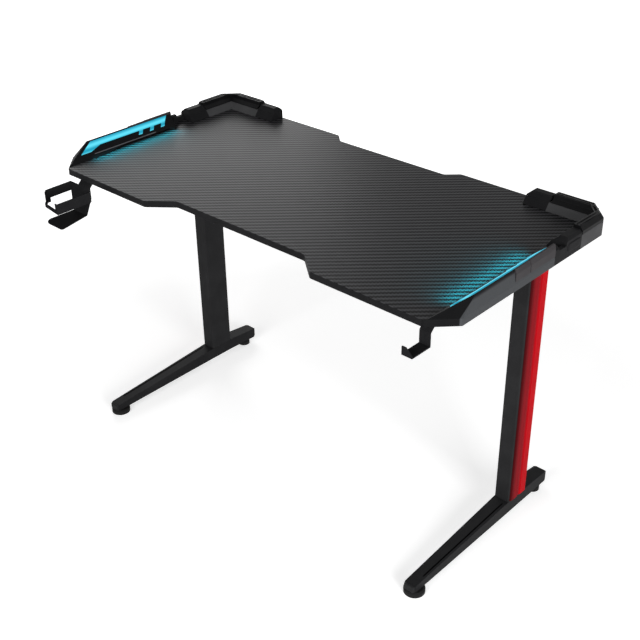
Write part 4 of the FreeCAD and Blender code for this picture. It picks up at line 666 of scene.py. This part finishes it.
def guard_rib(side, place):
    """Low rib on the top of a guard cap, along its outer edge.

    Over corner number n of a path and turn a: the path keeps a setback from the top's outer edge, along the
    rear, across the cut corner and along the side. The section is an ellipse, half sunk in the cap. It lies
    along the mitre at each corner and shrinks to nothing at both ends.
    """
    low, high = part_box(f"{side}_guard_cap")
    setback = RIB_SETBACKS[place]
    near, far = sorted((abs(low.x), abs(high.x)))
    edge = far - CAP_SLOPE
    rear = high.y - CAP_SLOPE
    shift = setback * math.tan(CAP_TURN / 2)
    corners = np.array([
        (near + RIB_END, rear - setback, high.z),
        (edge - CAP_CUT - shift, rear - setback, high.z),
        (edge - setback, rear - CAP_CUT - shift, high.z),
        (edge - setback, low.y + RIB_END, high.z),
    ])
    steps = np.diff(corners, axis=0)
    steps /= np.linalg.norm(steps, axis=1, keepdims=True)
    normals = np.cross([0, 0, 1], steps)
    before, after = normals[[0, 0, 1, 2]], normals[[0, 1, 2, 2]]
    mitre = (before + after) / (1 + np.sum(before * after, axis=1, keepdims=True))
    rows = [0, 0, 1, 2, 3, 3]
    size = np.array([0.0, 1.0, 1.0, 1.0, 1.0, 0.0])
    upward = np.tile([0, 0, RIB_RISE], (len(rows), 1))
    name = f"{side}_guard_{place}_rib"
    bar_along(name, corners[rows], RIB_HALF * mitre[rows], upward, size, side, "dark_armour")


THREAD_PITCH = 1.25 * MM
THREAD_DEPTH = 0.6 * MM
ROWS_PER_PITCH = 5
STUD_TURNS = 24


def threaded_stud(side, end):
    """Levelling stud with its screw thread.

    Over height h and turn a: the radius is the stud's, less the thread's depth times a triangle wave of
    h / pitch - a / full turn, and it falls to nothing at both ends.
    """
    node = f"{side}_{end}_leveller_stud"
    low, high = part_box(node)
    middle = (low + high) / 2
    radius = (high.x - low.x) / 2
    rows = int((high.z - low.z) / (THREAD_PITCH / ROWS_PER_PITCH))
    h, a = np.meshgrid(np.linspace(low.z, high.z, rows), full_turn(STUD_TURNS), indexing="ij")
    phase = (h / THREAD_PITCH - a / (2 * np.pi)) % 1
    r = radius - THREAD_DEPTH * np.abs(2 * phase - 1)
    r[[0, -1]] = 0
    points = np.stack([middle.x + r * np.cos(a), middle.y + r * np.sin(a), h], axis=-1).reshape(-1, 3)
    name = f"{side}_{end}_threaded_stud"
    piece = to_piece(name, points, ring_faces(*h.shape), f"{side}_{end}_leveller", "zinc_steel")
    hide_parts(node)


def make_details():
    """Pieces that finish the desk: plates and ribs on guards and wings, strips on feet, threads on studs."""
    for side in SIDES:
        guard_plate(side)
        wing_ridge(side)
        foot_strip(side)
        for place in RIB_SETBACKS:
            guard_rib(side, place)
        for end in ("front", "rear"):
            threaded_stud(side, end)


# Light, floor and background

def soft_lamp(name, place, target, size, power, colour="#ffffff"):
    """Square or oblong lamp at a place, turned to a target; only its light is seen, not the lamp."""
    data = bpy.data.lights.new(name, "AREA")
    data.shape = "RECTANGLE"
    data.size, data.size_y = size
    data.energy = power
    data.color = linear(colour)[:3]
    lamp = bpy.data.objects.new(name, data)
    bpy.context.scene.collection.objects.link(lamp)
    lamp.location = place
    lamp.rotation_euler = (Vector(target) - Vector(place)).to_track_quat("-Z", "Y").to_euler()
    lamp.visible_camera = False
    return lamp


def seen_rays(tree):
    """One for rays from the camera, from reflections and through clear things, and nought for others."""
    path = add(tree, "LightPath").outputs
    seen = calc(tree, "MAXIMUM", path["Is Camera Ray"], path["Is Glossy Ray"])
    return calc(tree, "MAXIMUM", seen, path["Is Transmission Ray"])


SKY_LIGHT = 0.16


def white_surround():
    """World: white to the eye and in reflections, with a weak plain light on everything else."""
    world = bpy.data.worlds.new("white_surround")
    bpy.context.scene.world = world
    world.use_nodes = True
    tree = world.node_tree
    tree.nodes.clear()
    strength = ranged(tree, seen_rays(tree), (0.0, 1.0), (SKY_LIGHT, 1.0))
    sky = add(tree, "Background", {"Color": linear("#ffffff"), "Strength": strength})
    add(tree, "OutputWorld", {"Surface": sky.outputs[0]})


FLOOR_SIZE = 12.0
FLOOR_MOTTLE = 300 * MM
LIFT_REACH = (1.0, 2.6)
LIFT = (0.5, 1.0)


def pale_floor():
    """Square floor with a faint mottle, lifted towards white for the eye.

    Over u and v, each minus or plus a half: the corners lie at u and v times the size, at height 0.
    The lift is weaker near the desk, so that its soft shadow shows.
    """
    u, v = np.meshgrid((-0.5, 0.5), (-0.5, 0.5))
    corners = np.stack([u.ravel() * FLOOR_SIZE, v.ravel() * FLOOR_SIZE, np.zeros(4)], axis=1)
    mesh = bpy.data.meshes.new("floor")
    mesh.from_pydata(corners.tolist(), [], [(0, 1, 3, 2)])
    floor = bpy.data.objects.new("floor", mesh)
    bpy.context.scene.collection.objects.link(floor)
    material, tree, shader, place = start_material("white_studio_floor")
    reach = add(tree, "VectorMath", {0: place}, operation="LENGTH").outputs["Value"]
    lift = calc(tree, "MULTIPLY", seen_rays(tree), ranged(tree, reach, LIFT_REACH, LIFT))
    feed(tree, shader, {
        "Base Color": blended(tree, noise(tree, place, FLOOR_MOTTLE), "#e6e6e6", "#ececec"),
        "Roughness": 0.9,
        "Specular IOR Level": 0.0,
        "Emission Color": linear("#ffffff"),
        "Emission Strength": lift,
    })
    floor.data.materials.append(material)


LAMP_TARGET = (0, 0.05, 0.5)
LAMPS = {
    "right_lamp": {"place": (3.4, -1.2, 1.2), "size": (1.6, 1.6), "power": 120},
    "front_lamp": {"place": (0.3, -3.2, 1.6), "size": (2.0, 1.4), "power": 65},
    "left_rear_lamp": {"place": (-3.5, 2.3, 2.1), "size": (2.4, 2.0), "power": 62},
}


def studio():
    """White surround, floor and large soft lamps.

    The main lamp stands on the right, a weaker one in front, and one behind on the left for the top's sheen.
    """
    white_surround()
    pale_floor()
    for name, lamp in LAMPS.items():
        soft_lamp(name, target=LAMP_TARGET, **lamp)


GLOW_INWARD = 26 * MM
GLOW_BACK = 12 * MM
GLOW_UP = 6 * MM
GLOW_FALL = 1.1
GLOW_LENGTH = 0.9
GLOW_WIDTH = 14 * MM
GLOW_POWER = 0.4
GLOW_SPREAD = math.radians(110)


def wing_glow():
    """Cyan light that spills from both wings over the desktop beside them.

    Each lamp is a strip beside the middle of its lens that looks inwards and down.
    """
    for side, sense in SIDES.items():
        low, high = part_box(f"{side}_light_diffuser")
        place = (low + high) / 2 + Vector((-sense * GLOW_INWARD, GLOW_BACK, GLOW_UP))
        target = place + Vector((-sense, 0, -GLOW_FALL))
        size = (GLOW_LENGTH * (high.y - low.y), GLOW_WIDTH)
        lamp = soft_lamp(f"{side}_glow", place, target, size, GLOW_POWER, "#0cc4d6")
        lamp.data.spread = GLOW_SPREAD
        lamp.visible_glossy = False


make_camera()
finish_nodes()
soften_edges()
make_details()
studio()
wing_glow()
bpy.context.scene.view_settings.view_transform = "Standard"
